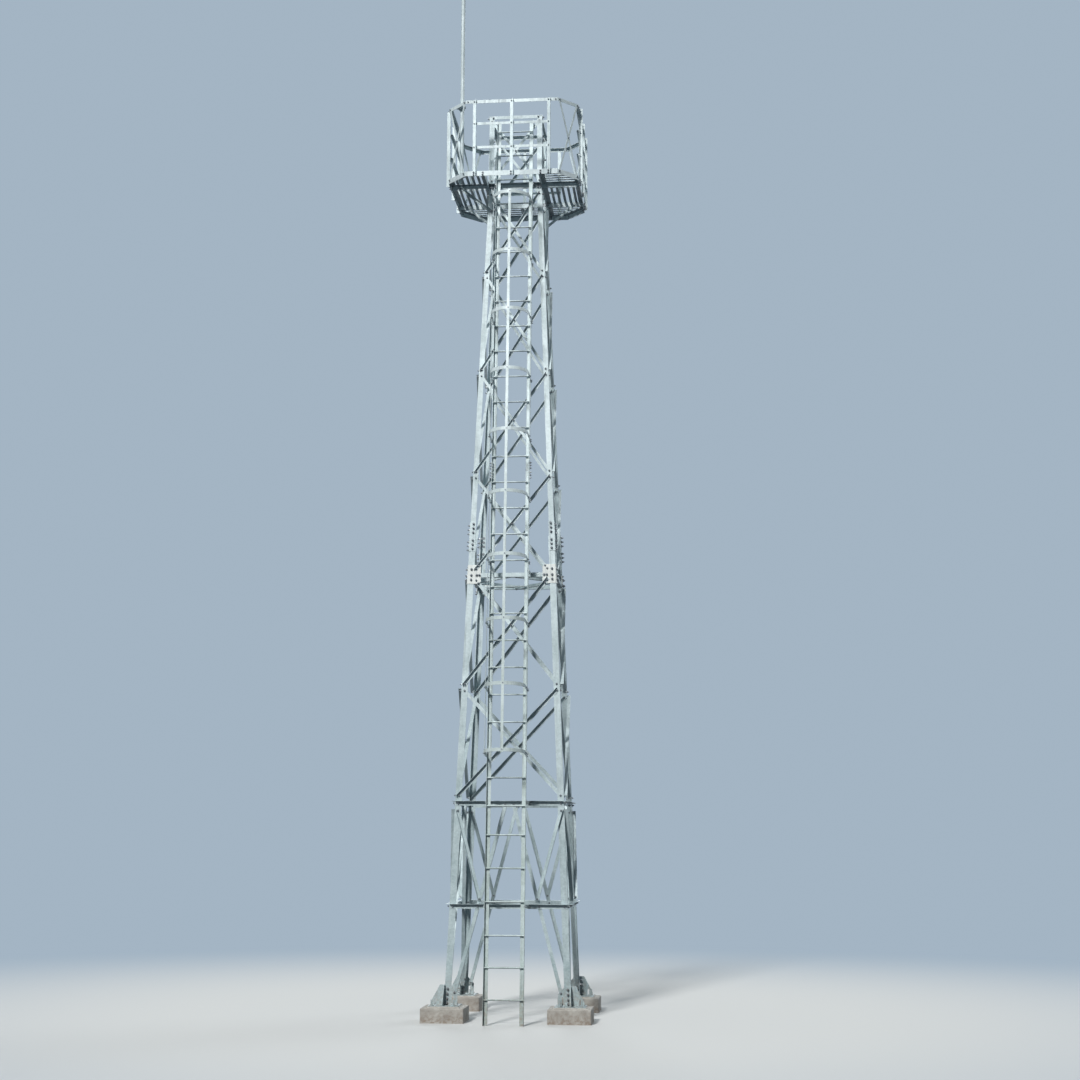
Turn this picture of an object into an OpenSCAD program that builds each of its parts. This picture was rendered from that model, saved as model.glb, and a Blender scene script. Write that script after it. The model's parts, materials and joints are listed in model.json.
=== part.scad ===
// Fire lookout tower: a square lattice of galvanised steel angles on four concrete piers,
// with a caged ladder up its front face and an eight-sided walkway round its head.
// X runs to the right seen from the front, the front faces -Y and Z is up.
// The origin lies under the middle of the front left pier, on the ground.

/* [Lattice] */
// Width between the heels of the legs on their base plates
base_w = 1750; // [1600:10:1900]
// Width between the heels of the legs under the walkway
top_w = 800; // [780:5:840]
// Height of the top of the walkway's beams above the ground
floor_z = 12200; // [11900:50:12600]
// Height of the lower ring above the ground
ring_low_z = 1540; // [1500:10:1700]
// Height of the upper ring above the ground
ring_high_z = 2950; // [2850:10:3050]
// Height of the plain joint between the upper ring and the splice ring
mid_node_z = 4580; // [4500:10:4700]
// Height of the splice ring above the ground
splice_ring_z = 6200; // [6100:10:6300]
// Height where the lower and upper legs meet
leg_splice_z = 6765; // [6700:5:6900]
// Height of the first plain joint above the splice ring
upper_node_1 = 7690; // [7600:10:7800]
// Height of the second one
upper_node_2 = 9240; // [9100:10:9350]
// Height of the third one
upper_node_3 = 10770; // [10600:10:10900]

/* [Steel sections] */
// Flange width of the lower legs
lower_leg_a = 90; // [80:5:100]
// Thickness of the lower legs
lower_leg_t = 8; // [6:1:10]
// Flange width of the upper legs
upper_leg_a = 75; // [70:5:90]
// Thickness of the upper legs
upper_leg_t = 6; // [5:1:8]
// Flange width of the bracing below the splice ring
low_brace_a = 50; // [40:5:56]
// Flange width of the bracing above the splice ring
high_brace_a = 40; // [35:5:50]
// Thickness of the bracing below the splice ring
low_brace_t = 5; // [4:1:6]
// Thickness of the bracing above the splice ring
high_brace_t = 4; // [3:1:5]
// Flange width of the rings
ring_a = 63; // [50:1:70]
// Thickness of the gusset plates and packings
gusset_t = 6; // [5:1:8]

/* [Feet] */
// Width of each square pier
pier_w = 600; // [520:10:680]
// Height of each pier
pier_h = 200; // [150:10:300]
// Width of each square base plate
plate_w = 420; // [400:10:460]
// Thickness of each base plate
plate_t = 20; // [12:1:25]
// Distance from a leg's heel in to the middle of its pier
pier_in = 10; // [0:5:40]
// Height of the welded foot gussets
shoe_h = 290; // [220:10:340]

/* [Ladder] */
// Width over the ladder's stiles
ladder_w = 500; // [450:10:540]
// Distance from the tower's axis to the front of the ladder at the ground
ladder_foot_y = 1435; // [1350:5:1500]
// The same distance at the top of the ladder
ladder_top_y = 475; // [470:5:500]
// Height of the top of the ladder
ladder_h = 13200; // [13000:50:13400]
// Flange width of the stiles
stile_a = 60; // [50:5:60]
// Diameter of the rungs
rung_d = 22; // [18:1:25]
// Height of the lowest rung
first_rung_z = 290; // [250:10:400]
// Spacing of the lowest rungs
low_rung_step = 440; // [400:5:460]
// Spacing of the other rungs
rung_step = 389; // [370:1:392]
// Height where the two lengths of ladder meet
ladder_joint_z = 7690; // [7600:5:7800]

/* [Cage] */
// Width over a hoop
hoop_w = 620; // [580:10:680]
// Depth of a hoop in front of the ladder
hoop_depth = 600; // [550:10:700]
// Width of the hoops' flat bar
hoop_a = 50; // [40:5:60]
// Height of the lowest hoop
first_hoop_z = 3605; // [3500:5:3800]
// Spacing of the hoops
hoop_step = 906; // [850:1:920]
// Number of hoops
hoops = 10; // [8:1:10]

/* [Walkway] */
// Width of the walkway across its flats
deck_w = 1950; // [1900:10:2100]
// Length that each corner is cut back along both sides
deck_cut = 290; // [280:10:340]
// Depth of the walkway's beams
beam_a = 75; // [63:1:80]
// Width of one slat
slat_w = 40; // [30:5:50]
// Spacing of the slats
slat_step = 84; // [70:1:86]
// Number of slats in each strip
slats = 7; // [6:1:7]
// Height of the guard rail above the beams
rail_h = 1115; // [1050:5:1250]
// Flange width of the posts and the top rail
post_a = 50; // [40:5:56]
// Flange width of the middle rails
mid_rail_a = 40; // [30:5:50]
// Distance of the end posts from the middle of a side
post_x = 554; // [500:2:600]
// Height of the crown above the beams
crown_h = 1100; // [1000:10:1200]

/* [Mast] */
// Outer diameter of the mast tube
mast_d = 60; // [48:1:76]
// Height of the top of the tube above the ground
mast_tube_z = 15200; // [14500:50:15500]
// Height of the pointed tip above the ground
mast_tip_z = 16200; // [15800:50:16500]

/* [Hidden] */

galvanised = [0.72, 0.75, 0.78];
shaded_zinc = [0.62, 0.66, 0.70];
concrete = [0.60, 0.58, 0.54];

base_z = pier_h;
leg_top_z = floor_z - beam_a;
batter = atan((base_w - top_w) / 2 / (leg_top_z - base_z));
pier_off = base_w / 2 - pier_in;
leg_dir = [tan(batter), tan(batter), 1] / norm([tan(batter), tan(batter), 1]);
leg_x = [1, 0, 0] - leg_dir[0] * leg_dir;
leg_side = leg_x / norm(leg_x);
leg_in = cross(leg_dir, leg_side);
corner_open = asin(pow(leg_dir[0], 2) / (1 - pow(leg_dir[0], 2)));

low_gauge = 45;
high_gauge = 40;
ring_gap = 110;
head_gap = 78;
node_gap = 46;
end_over = 26;
packing = 56;
crossing_pad = 46;
ring_t = 5;
seat = 0.5;

lean = atan((ladder_foot_y - ladder_top_y) / ladder_h);
stile_t = 5;
low_rungs = 6;
high_rungs = floor((ladder_h - 150 - first_rung_z - (low_rungs - 1) * low_rung_step) / rung_step);
hoop_t = 5;
cage_bar_w = 40;
bracket_t = 6;

deck_half = deck_w / 2;
corner_off = (deck_w - deck_cut) / sqrt(2);
corner_len = deck_cut * sqrt(2);
side_len = deck_w - 2 * deck_cut;
beam_t = 6;
slat_t = 6;
post_t = 5;
mid_rail_t = 4;
rail_top_z = floor_z + rail_h;
crown_top_z = floor_z + crown_h;
mast_in = 86;

function half_at(z) = base_w / 2 - (z - base_z) * tan(batter);
function up_face(z) = (z - base_z) / cos(batter);
function deck_outline(inset) = [
    for (side = [0 : 3], end = [-1, 1])
        let (x = end * (deck_half - deck_cut - inset * (sqrt(2) - 1)), y = inset - deck_half, a = 90 * side)
            [x * cos(a) - y * sin(a), x * sin(a) + y * cos(a)]
];
function rung_z(k) = k < low_rungs
    ? first_rung_z + k * low_rung_step
    : first_rung_z + (low_rungs - 1) * low_rung_step + (k - low_rungs + 1) * rung_step;

// Moves the tower's axis so that the front left pier stands on the origin
module from_pier() {
    translate([pier_off, pier_off, 0])
        children();
}

// Frame of one lattice face: X along the face, Y inwards from its plane, Z up its slope
module on_face(side) {
    rotate([0, 0, 90 * side])
        translate([0, -base_w / 2, base_z])
            rotate([-batter, 0, 0])
                children();
}

// Frame of one side of the walkway, with Y inwards from its edge; odd sides are the cut corners
module on_deck_side(side) {
    rotate([0, 0, 45 * side])
        translate([0, side % 2 == 0 ? -deck_half : -corner_off, 0])
            children();
}

// Frame of the ladder: Y = 0 is the front of the stiles, Z runs up their slope
module on_ladder() {
    translate([0, -ladder_foot_y, 0])
        rotate([-lean, 0, 0])
            children();
}

// Keeps the part of a leg between two heights
module between(z_low, z_high) {
    intersection() {
        children();
        translate([-base_w, -base_w, z_low])
            cube([2 * base_w, 2 * base_w, z_high - z_low]);
    }
}

// Outline of an angle lying on a face plane, with its other flange standing out of the plane
module angle_outline(depth, dir, a, t, edge) {
    polygon([
        [depth, edge * a / 2],
        [depth + dir * a, edge * a / 2],
        [depth + dir * a, edge * (a / 2 - t)],
        [depth + dir * t, edge * (a / 2 - t)],
        [depth + dir * t, -edge * a / 2],
        [depth, -edge * a / 2]
    ]);
}

// Angle bar in a face frame from one point to another, both as [x, z]
module face_bar(from, to, a, t, depth, dir, edge = 1, over = 0) {
    run = to - from;
    translate([from[0], 0, from[1]])
        rotate([0, -atan2(run[1], run[0]), 0])
            translate([-over, 0, 0])
                rotate([90, 0, 90])
                    linear_extrude(norm(run) + 2 * over)
                        angle_outline(depth, dir, a, t, edge);
}

// Flat bar in a face frame from one point to another
module face_flat(from, to, a, t, depth, over = 0) {
    run = to - from;
    translate([from[0], depth, from[1]])
        rotate([0, -atan2(run[1], run[0]), 0])
            translate([-over, 0, -a / 2])
                cube([norm(run) + 2 * over, t, a]);
}

// Plate in a face frame between two depths
module face_plate(points, y_out, y_in) {
    translate([0, y_in, 0])
        rotate([90, 0, 0])
            linear_extrude(y_in - y_out)
                polygon(points);
}

// Square packing between a bar and the flange that it is bolted to
module pad(at, size, y_out, y_in) {
    translate([at[0] - size / 2, y_out, at[1] - size / 2])
        cube([size, y_in - y_out, size]);
}

// Crossed pair of angles in one bay, one outside the legs' flanges and one inside, with a pad between them.
// Each end is given as its height and its distance from the heels of the legs
module crossed_bay(low, high, a, t, leg_t, out = 0) {
    low_x = half_at(low[0]) - low[1];
    high_x = half_at(high[0]) - high[1];
    low_z = up_face(low[0]);
    high_z = up_face(high[0]);
    cross_z = low_z + (high_z - low_z) * low_x / (low_x + high_x);
    face_bar([-low_x, low_z], [high_x, high_z], a, t, -out, -1, 1, end_over);
    face_bar([low_x, low_z], [-high_x, high_z], a, t, leg_t, 1, -1, end_over);
    pad([0, cross_z], crossing_pad, -out - seat, leg_t + seat);
}

// Packing at one end of a crossed bar, with the end given as in crossed_bay
module end_pad(end, place, size, y_out, y_in) {
    pad([end * (half_at(place[0]) - place[1]), up_face(place[0])], size, y_out, y_in);
}

// Ring bar across the legs of one face, with its upper flange turned outwards
module ring_bar(z) {
    reach = half_at(z) - 6;
    face_bar([-reach, up_face(z)], [reach, up_face(z)], ring_a, ring_t, 0, -1);
}

// Ring bar between the legs, behind the gussets, with its lower flange turned inwards
module inner_ring_bar(z) {
    reach = half_at(z) - lower_leg_a - 8;
    face_bar([-reach, up_face(z)], [reach, up_face(z)], ring_a, ring_t, -seat, 1, -1);
}

// Pair of gusset plates with cut corners where the splice ring meets the legs
module splice_gussets() {
    wide = 190;
    down = 125;
    up = 150;
    cut = 30;
    z = up_face(splice_ring_z);
    for (end = [-1, 1]) {
        heel = end * (half_at(splice_ring_z) - 4);
        inner = end * (half_at(splice_ring_z) - wide);
        face_plate([
            [heel + end * down * tan(batter), z - down],
            [inner + end * cut, z - down],
            [inner, z - down + cut],
            [inner, z + up - cut],
            [inner + end * cut, z + up],
            [heel - end * up * tan(batter), z + up]
        ], -gusset_t, 0);
    }
}

// Outline of a leg seen along it; its second flange opens a little so that both lie on their faces
module leg_outline(a, t) {
    square([a, t]);
    rotate(corner_open)
        square([t, a]);
}

// Moves a shape to the heel line of one leg, drawn along the leg
module along_leg(corner, z) {
    heel = -half_at(z);
    rotate([0, 0, 90 * corner])
        multmatrix([
            [leg_side[0], leg_in[0], leg_dir[0], heel],
            [leg_side[1], leg_in[1], leg_dir[1], heel],
            [leg_side[2], leg_in[2], leg_dir[2], z],
            [0, 0, 0, 1]
        ])
            children();
}

module leg(corner, z_low, z_high, a, t) {
    spare = 40;
    between(z_low, z_high)
        along_leg(corner, z_low - spare)
            linear_extrude((z_high - z_low + 2 * spare) / leg_dir[2])
                leg_outline(a, t);
}

module piers() {
    from_pier()
        color(concrete)
            for (x = [-1, 1], y = [-1, 1])
                translate([x * pier_off - pier_w / 2, y * pier_off - pier_w / 2, 0])
                    cube([pier_w, pier_w, pier_h]);
}

// Base plates with two upright gussets each, which cross at the heel and stand clear of the anchor bolts
module foot_plates() {
    outer = plate_w / 2 - pier_in - 20;
    inner = plate_w / 2 + pier_in - 35;
    tip_h = 45;
    head_out = 58;
    head_in = 75;
    shoulder_h = shoe_h - 115;
    notch_far = 132;
    notch_near = 108;
    notch_out_h = plate_t + 85;
    notch_in_h = plate_t + 115;
    from_pier()
        color(shaded_zinc) {
            for (x = [-1, 1], y = [-1, 1])
                translate([x * pier_off - plate_w / 2, y * pier_off - plate_w / 2, base_z])
                    cube([plate_w, plate_w, plate_t]);
            for (side = [0 : 3], end = [-1, 1])
                on_face(side)
                    translate([end * base_w / 2, 0, 0])
                        face_plate([
                            [end * outer, plate_t / 2],
                            [end * outer, plate_t + tip_h],
                            [end * head_out, shoe_h],
                            [-end * head_in, shoe_h],
                            [-end * inner, shoulder_h],
                            [-end * inner, plate_t / 2],
                            [-end * notch_far, plate_t / 2],
                            [-end * notch_far, notch_in_h],
                            [-end * notch_near, notch_in_h],
                            [-end * notch_near, plate_t / 2],
                            [end * notch_near, plate_t / 2],
                            [end * notch_near, notch_out_h],
                            [end * notch_far, notch_out_h],
                            [end * notch_far, plate_t / 2]
                        ], -gusset_t - 2, 0);
        }
}

module lower_leg(corner) {
    from_pier()
        color(galvanised)
            leg(corner, base_z + plate_t, leg_splice_z, lower_leg_a, lower_leg_t);
}

module upper_leg(corner) {
    from_pier()
        color(galvanised)
            leg(corner, leg_splice_z, leg_top_z, upper_leg_a, upper_leg_t);
}

// Cover angles bolted round the joint between the lower and the upper legs
module leg_splices() {
    cover_h = 430;
    cover_a = 80;
    cover_t = 7;
    from_pier()
        color(galvanised)
            for (corner = [0 : 3])
                between(leg_splice_z - cover_h / 2, leg_splice_z + cover_h / 2)
                    along_leg(corner, leg_splice_z - cover_h)
                        linear_extrude(2 * cover_h)
                            difference() {
                                translate([-cover_t, -cover_t])
                                    square([cover_a + cover_t, cover_a + cover_t]);
                                rotate(corner_open)
                                    square([2 * cover_a, 2 * cover_a]);
                                square([2 * cover_a, 2 * cover_a]);
                            }
}

// Bottom bay: two rings, an inverted V from the upper ring to the feet and two short struts
module base_bracing(side) {
    foot_z = base_z + 185;
    foot = [half_at(foot_z) - 135, up_face(foot_z)];
    apex = [58, up_face(ring_high_z) - 15];
    strut_z = ring_high_z - 100;
    strut = [half_at(strut_z) - low_gauge, up_face(strut_z)];
    lean_in = (apex[0] - foot[0]) / (apex[1] - foot[1]);
    crossing = [foot[0] + lean_in * (up_face(ring_low_z) - foot[1]), up_face(ring_low_z)];
    knot = crossing + 100 * [lean_in, 1];
    from_pier()
        color(galvanised)
            on_face(side) {
                ring_bar(ring_low_z);
                ring_bar(ring_high_z);
                for (end = [-1, 1]) {
                    face_bar(
                        [end * foot[0], foot[1]], [end * apex[0], apex[1]],
                        low_brace_a, low_brace_t, lower_leg_t, 1, end, end_over
                    );
                    face_bar(
                        [end * strut[0], strut[1]], [end * knot[0], knot[1]],
                        low_brace_a, low_brace_t, 0, -1, end, end_over
                    );
                    pad([end * foot[0], foot[1]], crossing_pad, 0, lower_leg_t + seat);
                    for (spot = [crossing, knot, apex])
                        pad([end * spot[0], spot[1]], crossing_pad, -seat, lower_leg_t + seat);
                }
            }
}

// Two crossed bays and the splice ring with its gussets
module mid_bracing(side) {
    foot = [mid_node_z + node_gap, low_gauge];
    head = [splice_ring_z - 72, 125];
    from_pier()
        color(galvanised)
            on_face(side) {
                crossed_bay(
                    [ring_high_z + ring_gap, low_gauge], [mid_node_z - node_gap, low_gauge],
                    low_brace_a, low_brace_t, lower_leg_t
                );
                crossed_bay(foot, head, low_brace_a, low_brace_t, lower_leg_t, gusset_t - seat);
                end_pad(-1, foot, packing, -gusset_t, 0);
                end_pad(-1, head, crossing_pad, -seat, lower_leg_t + seat);
                inner_ring_bar(splice_ring_z);
                splice_gussets();
            }
}

// Crossed bays from the splice ring's gussets to the walkway
module upper_bracing(side) {
    foot = [splice_ring_z + 90, 118];
    head = [upper_node_1 - node_gap, high_gauge];
    nodes = [upper_node_1, upper_node_2, upper_node_3, leg_top_z];
    from_pier()
        color(galvanised)
            on_face(side) {
                crossed_bay(foot, head, high_brace_a, high_brace_t, lower_leg_t, gusset_t);
                end_pad(1, foot, crossing_pad, 0, lower_leg_t + seat);
                end_pad(1, head, high_brace_a, -gusset_t - seat, 0);
                end_pad(-1, head, high_brace_a, upper_leg_t, lower_leg_t + seat);
                for (k = [0 : 2])
                    crossed_bay(
                        [nodes[k] + node_gap, high_gauge],
                        [nodes[k + 1] - (k == 2 ? head_gap : node_gap), high_gauge],
                        high_brace_a, high_brace_t, upper_leg_t
                    );
            }
}

// Level diamond of angles that lies on the lower flanges of the splice ring
module splice_diaphragm() {
    side_off = (half_at(splice_ring_z) - ring_t - 2 * seat) / sqrt(2);
    bar_a = 50;
    bar_t = 5;
    from_pier()
        color(galvanised)
            for (side = [0 : 3])
                rotate([0, 0, 90 * side + 45])
                    translate([-side_off, -side_off, splice_ring_z - ring_a / 2 + ring_t])
                        rotate([90, 0, 90])
                            linear_extrude(2 * side_off)
                                polygon([
                                    [0, 0], [bar_a, 0], [bar_a, bar_t],
                                    [bar_t, bar_t], [bar_t, bar_a], [0, bar_a]
                                ]);
}

// Four upright angles that carry the lattice on past the walkway
module crown_posts() {
    from_pier()
        color(galvanised)
            for (corner = [0 : 3])
                rotate([0, 0, 90 * corner])
                    translate([-top_w / 2, -top_w / 2, leg_top_z])
                        linear_extrude(crown_top_z - post_t - leg_top_z) {
                            square([upper_leg_a, upper_leg_t]);
                            square([upper_leg_t, upper_leg_a]);
                        }
}

// Crossed bars on the four faces of the crown, under a ring of angles
module crown_bracing() {
    low_z = floor_z + 60;
    high_z = crown_top_z - 85;
    x = top_w / 2 - high_gauge;
    side_reach = top_w / 2 + post_t;
    front_reach = top_w / 2 - 40;
    from_pier()
        color(galvanised)
            for (side = [0 : 3])
                rotate([0, 0, 90 * side])
                    translate([0, -top_w / 2, 0]) {
                        reach = side % 2 == 0 ? front_reach : side_reach;
                        face_flat([-x, low_z], [x, high_z], high_brace_a, post_t, -post_t, end_over);
                        face_bar(
                            [x, low_z], [-x, high_z],
                            high_brace_a, high_brace_t, upper_leg_t, 1, -1, end_over
                        );
                        pad([0, (low_z + high_z) / 2], crossing_pad, -seat, upper_leg_t + seat);
                        translate([-reach, -post_t, crown_top_z - post_a])
                            cube([2 * reach, post_t, post_a]);
                        translate([-reach, -post_t, crown_top_z - post_t])
                            cube([2 * reach, post_a, post_t]);
                    }
}

module ladder_length(z_low, z_high, first_rung, last_rung) {
    on_ladder() {
        for (end = [-1, 1])
            translate([end * ladder_w / 2, 0, z_low / cos(lean)])
                linear_extrude((z_high - z_low) / cos(lean))
                    polygon([
                        [0, 0], [0, stile_a], [-end * stile_t, stile_a],
                        [-end * stile_t, stile_t], [-end * stile_a, stile_t], [-end * stile_a, 0]
                    ]);
        for (k = [first_rung : last_rung])
            translate([-ladder_w / 2 + stile_t / 2, stile_a / 2, rung_z(k) / cos(lean)])
                rotate([0, 90, 0])
                    cylinder(d = rung_d, h = ladder_w - stile_t, $fn = 32);
    }
}

module ladder_lower() {
    from_pier()
        color(galvanised)
            difference() {
                ladder_length(-20, ladder_joint_z, 0, low_rungs + 12);
                translate([-ladder_w, -2 * ladder_foot_y, -200])
                    cube([2 * ladder_w, 2 * ladder_foot_y, 200]);
            }
}

module ladder_upper() {
    from_pier()
        color(galvanised)
            ladder_length(ladder_joint_z, ladder_h, low_rungs + 13, low_rungs + high_rungs - 1);
}

// Flat struts from the rings and the front beam out to the stiles, and plates over the stiles' joint
module ladder_brackets() {
    strut_a = 44;
    splice_h = 360;
    rings = [[ring_low_z, ring_t], [ring_high_z, ring_t], [splice_ring_z, -seat]];
    from_pier()
        color(galvanised) {
            for (ring = rings, end = [-1, 1]) {
                far = ladder_foot_y - ring[0] * tan(lean) - half_at(ring[0]) - stile_t - 12;
                on_face(0)
                    translate([
                        end * (ladder_w / 2 - stile_t - bracket_t / 2) - bracket_t / 2,
                        -far,
                        up_face(ring[0]) - strut_a / 2 - 2
                    ])
                        cube([bracket_t, far - ring[1], strut_a]);
            }
            for (end = [-1, 1]) {
                far = ladder_foot_y - floor_z * tan(lean) - stile_t - 12;
                translate([
                    end * (ladder_w / 2 - stile_t - bracket_t / 2) - bracket_t / 2,
                    -far,
                    leg_top_z + 8
                ])
                    cube([bracket_t, far - top_w / 2 - beam_t, strut_a]);
                on_ladder()
                    translate([
                        end * (ladder_w / 2 - stile_t - bracket_t / 2) - bracket_t / 2,
                        stile_t + 3,
                        ladder_joint_z / cos(lean) - splice_h / 2
                    ])
                        cube([bracket_t, stile_a - stile_t - 6, splice_h]);
            }
        }
}

// Outline of a hoop round the climber, or of the space inside it
module hoop_outline(half_w, half_end, depth, shift) {
    flare_y = 25 + shift;
    side_y = 95 + shift;
    union() {
        polygon([
            [-half_end, stile_a - 12 + 10 * shift], [-half_end, -flare_y],
            [-half_w, -side_y], [-half_w, half_w - depth],
            [half_w, half_w - depth], [half_w, -side_y],
            [half_end, -flare_y], [half_end, stile_a - 12 + 10 * shift]
        ]);
        translate([0, half_w - depth])
            circle(r = half_w, $fn = 64);
    }
}

module cage_hoops() {
    from_pier()
        color(galvanised)
            on_ladder()
                for (k = [0 : hoops - 1])
                    translate([0, 0, (first_hoop_z + k * hoop_step) / cos(lean) - hoop_a / 2])
                        linear_extrude(hoop_a)
                            difference() {
                                hoop_outline(hoop_w / 2, ladder_w / 2 + hoop_t, hoop_depth, 0);
                                hoop_outline(
                                    hoop_w / 2 - hoop_t, ladder_w / 2, hoop_depth - hoop_t, 2
                                );
                            }
}

// One flat bar down the front of the hoops and one down each side
module cage_bars() {
    low = first_hoop_z / cos(lean) - hoop_a / 2 - 10;
    high = (first_hoop_z + (hoops - 1) * hoop_step) / cos(lean) + hoop_a / 2 + 10;
    bed = 0.7;
    side_y = 190;
    from_pier()
        color(galvanised)
            on_ladder() {
                translate([-cage_bar_w / 2, -hoop_depth - hoop_t + bed, low])
                    cube([cage_bar_w, hoop_t, high - low]);
                for (end = [-1, 1])
                    translate([end * (hoop_w + hoop_t) / 2 - hoop_t / 2, -side_y - cage_bar_w / 2, low])
                        cube([hoop_t, cage_bar_w, high - low]);
            }
}

// Prism whose outline is the walkway's, set in from its edge
module deck_prism(inset, z_low, z_high) {
    translate([0, 0, z_low])
        linear_extrude(z_high - z_low)
            polygon(deck_outline(inset));
}

// Edge angles, four beams past the crown's posts and a short cross beam under the back strip
module platform_frame() {
    cross_a = 50;
    inner = top_w / 2 + beam_t;
    reach = deck_half - beam_t / 2;
    from_pier()
        color(shaded_zinc) {
            difference() {
                deck_prism(0, leg_top_z, floor_z);
                deck_prism(beam_t, leg_top_z - 1, floor_z - beam_t);
                deck_prism(beam_a, floor_z - beam_t - 1, floor_z + 1);
            }
            for (side = [0 : 3])
                rotate([0, 0, 90 * side]) {
                    translate([-reach, -inner, leg_top_z])
                        cube([2 * reach, beam_t, beam_a]);
                    translate([-reach, -top_w / 2 - beam_a, floor_z - beam_t])
                        cube([2 * reach, beam_a, beam_t]);
                }
            translate([-beam_t / 2, inner - seat, floor_z - cross_a])
                cube([beam_t, reach - inner + seat, cross_a]);
            translate([-cross_a / 2, inner - seat, floor_z - beam_t])
                cube([cross_a, reach - inner + seat, beam_t]);
        }
}

// Offset of one slat's middle from the tower's axis
function slat_y(k) = top_w / 2 + 44 + k * slat_step;

// Half length of a slat that runs between the cut corners at a distance from the axis
function slat_reach(y) = min(deck_half, deck_w - deck_cut - y - slat_w / 2) - 8;

module floor_wing(side) {
    reach = slat_y(0) - slat_w / 2 - 10;
    from_pier()
        color(galvanised)
            rotate([0, 0, 90 * side])
                for (k = [0 : slats - 1])
                    translate([-reach, -slat_y(k) - slat_w / 2, floor_z])
                        cube([2 * reach, slat_w, slat_t]);
}

module floor_back() {
    from_pier()
        color(galvanised)
            for (k = [0 : slats - 1])
                translate([-slat_reach(slat_y(k)), slat_y(k) - slat_w / 2, floor_z])
                    cube([2 * slat_reach(slat_y(k)), slat_w, slat_t]);
}

// Left corner with its slats front to back, right corner with its slats side to side
module floor_front_corners() {
    start = slat_y(0) - slat_w / 2;
    from_pier()
        color(galvanised)
            for (k = [0 : slats - 1]) {
                length = slat_reach(slat_y(k)) - start;
                translate([-slat_y(k) - slat_w / 2, -start - length, floor_z])
                    cube([slat_w, length, slat_t]);
                translate([start, -slat_y(k) - slat_w / 2, floor_z])
                    cube([length, slat_w, slat_t]);
            }
}

// Angle rail inside the posts, with its upper flange turned inwards and mitred ends
module rail(length, a, t, z_top) {
    out = 10;
    half = length / 2;
    intersection() {
        translate([-half - out, -seat, z_top])
            rotate([90, 0, 90])
                linear_extrude(length + 2 * out)
                    polygon([[0, 0], [a, 0], [a, -t], [t, -t], [t, -a], [0, -a]]);
        translate([0, 0, z_top - 2 * a])
            linear_extrude(3 * a)
                polygon([
                    [-half - out * tan(22.5), -out], [half + out * tan(22.5), -out],
                    [half - 2 * a * tan(22.5), 2 * a], [2 * a * tan(22.5) - half, 2 * a]
                ]);
    }
}

module guard(side) {
    mid_len = 2 * post_x + post_a;
    from_pier()
        color(galvanised)
            on_deck_side(2 * side) {
                rail(side_len, post_a, post_t, rail_top_z);
                for (k = [1, 2])
                    rail(mid_len, mid_rail_a, mid_rail_t, floor_z + k * rail_h / 3 + mid_rail_a / 2);
                for (x = [-post_x, 0, post_x])
                    translate([x, 0, leg_top_z])
                        linear_extrude(rail_top_z - leg_top_z)
                            polygon([
                                [-post_a / 2, 0], [post_a / 2, 0], [post_a / 2, -post_a],
                                [post_a / 2 - post_t, -post_a], [post_a / 2 - post_t, -post_t],
                                [-post_a / 2, -post_t]
                            ]);
            }
}

// Short top rails and thin crossed flats across the four cut corners
module corner_guards() {
    flat_a = 30;
    flat_t = 4;
    x = corner_len / 2 - 32;
    low_z = floor_z - 30;
    high_z = rail_top_z - 25;
    from_pier()
        color(galvanised)
            for (side = [1, 3, 5, 7])
                on_deck_side(side) {
                    rail(corner_len, post_a, post_t, rail_top_z);
                    face_flat([-x, low_z], [x, high_z], flat_a, flat_t, -flat_t, 14);
                    face_flat([x, low_z], [-x, high_z], flat_a, flat_t, seat - 2 * flat_t, 14);
                    pad([x, low_z], flat_a + 6, -flat_t, 0);
                    pad([-x, high_z], flat_a + 6, -flat_t, 0);
                }
}

// Knee braces from the upper legs out to the front and back beams; the front right leg has none
module knee_braces() {
    foot_z = leg_top_z - 350;
    head_z = leg_top_z + 30;
    foot_x = half_at(foot_z) - high_gauge - 10;
    head_x = deck_half - 140;
    from_pier()
        color(galvanised)
            for (place = [[0, -1], [2, -1], [2, 1]])
                on_face(place[0])
                    face_bar(
                        [place[1] * foot_x, up_face(foot_z)], [place[1] * head_x, up_face(head_z)],
                        high_brace_a, high_brace_t, 0, -1, place[1], 20
                    );
}

// Tube with a slender pointed rod, on a square foot that stands on the slats
module mast() {
    foot_w = 130;
    foot_t = 8;
    wall = 4;
    rod_d = 26;
    tip_h = 120;
    foot_z = floor_z + slat_t;
    from_pier()
        color(galvanised)
            on_deck_side(7)
                translate([0, mast_in, 0])
                    difference() {
                        union() {
                            translate([-foot_w / 2, -foot_w / 2, foot_z])
                                cube([foot_w, foot_w, foot_t]);
                            translate([0, 0, foot_z])
                                cylinder(d = mast_d, h = mast_tube_z - foot_z, $fn = 48);
                            translate([0, 0, mast_tube_z - 10])
                                cylinder(d = rod_d, h = mast_tip_z - tip_h - mast_tube_z + 10, $fn = 32);
                            translate([0, 0, mast_tip_z - tip_h])
                                cylinder(d1 = rod_d, d2 = 4, h = tip_h, $fn = 32);
                        }
                        translate([0, 0, foot_z - 1])
                            cylinder(d = mast_d - 2 * wall, h = mast_tube_z - foot_z - 9, $fn = 48);
                    }
}

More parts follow.
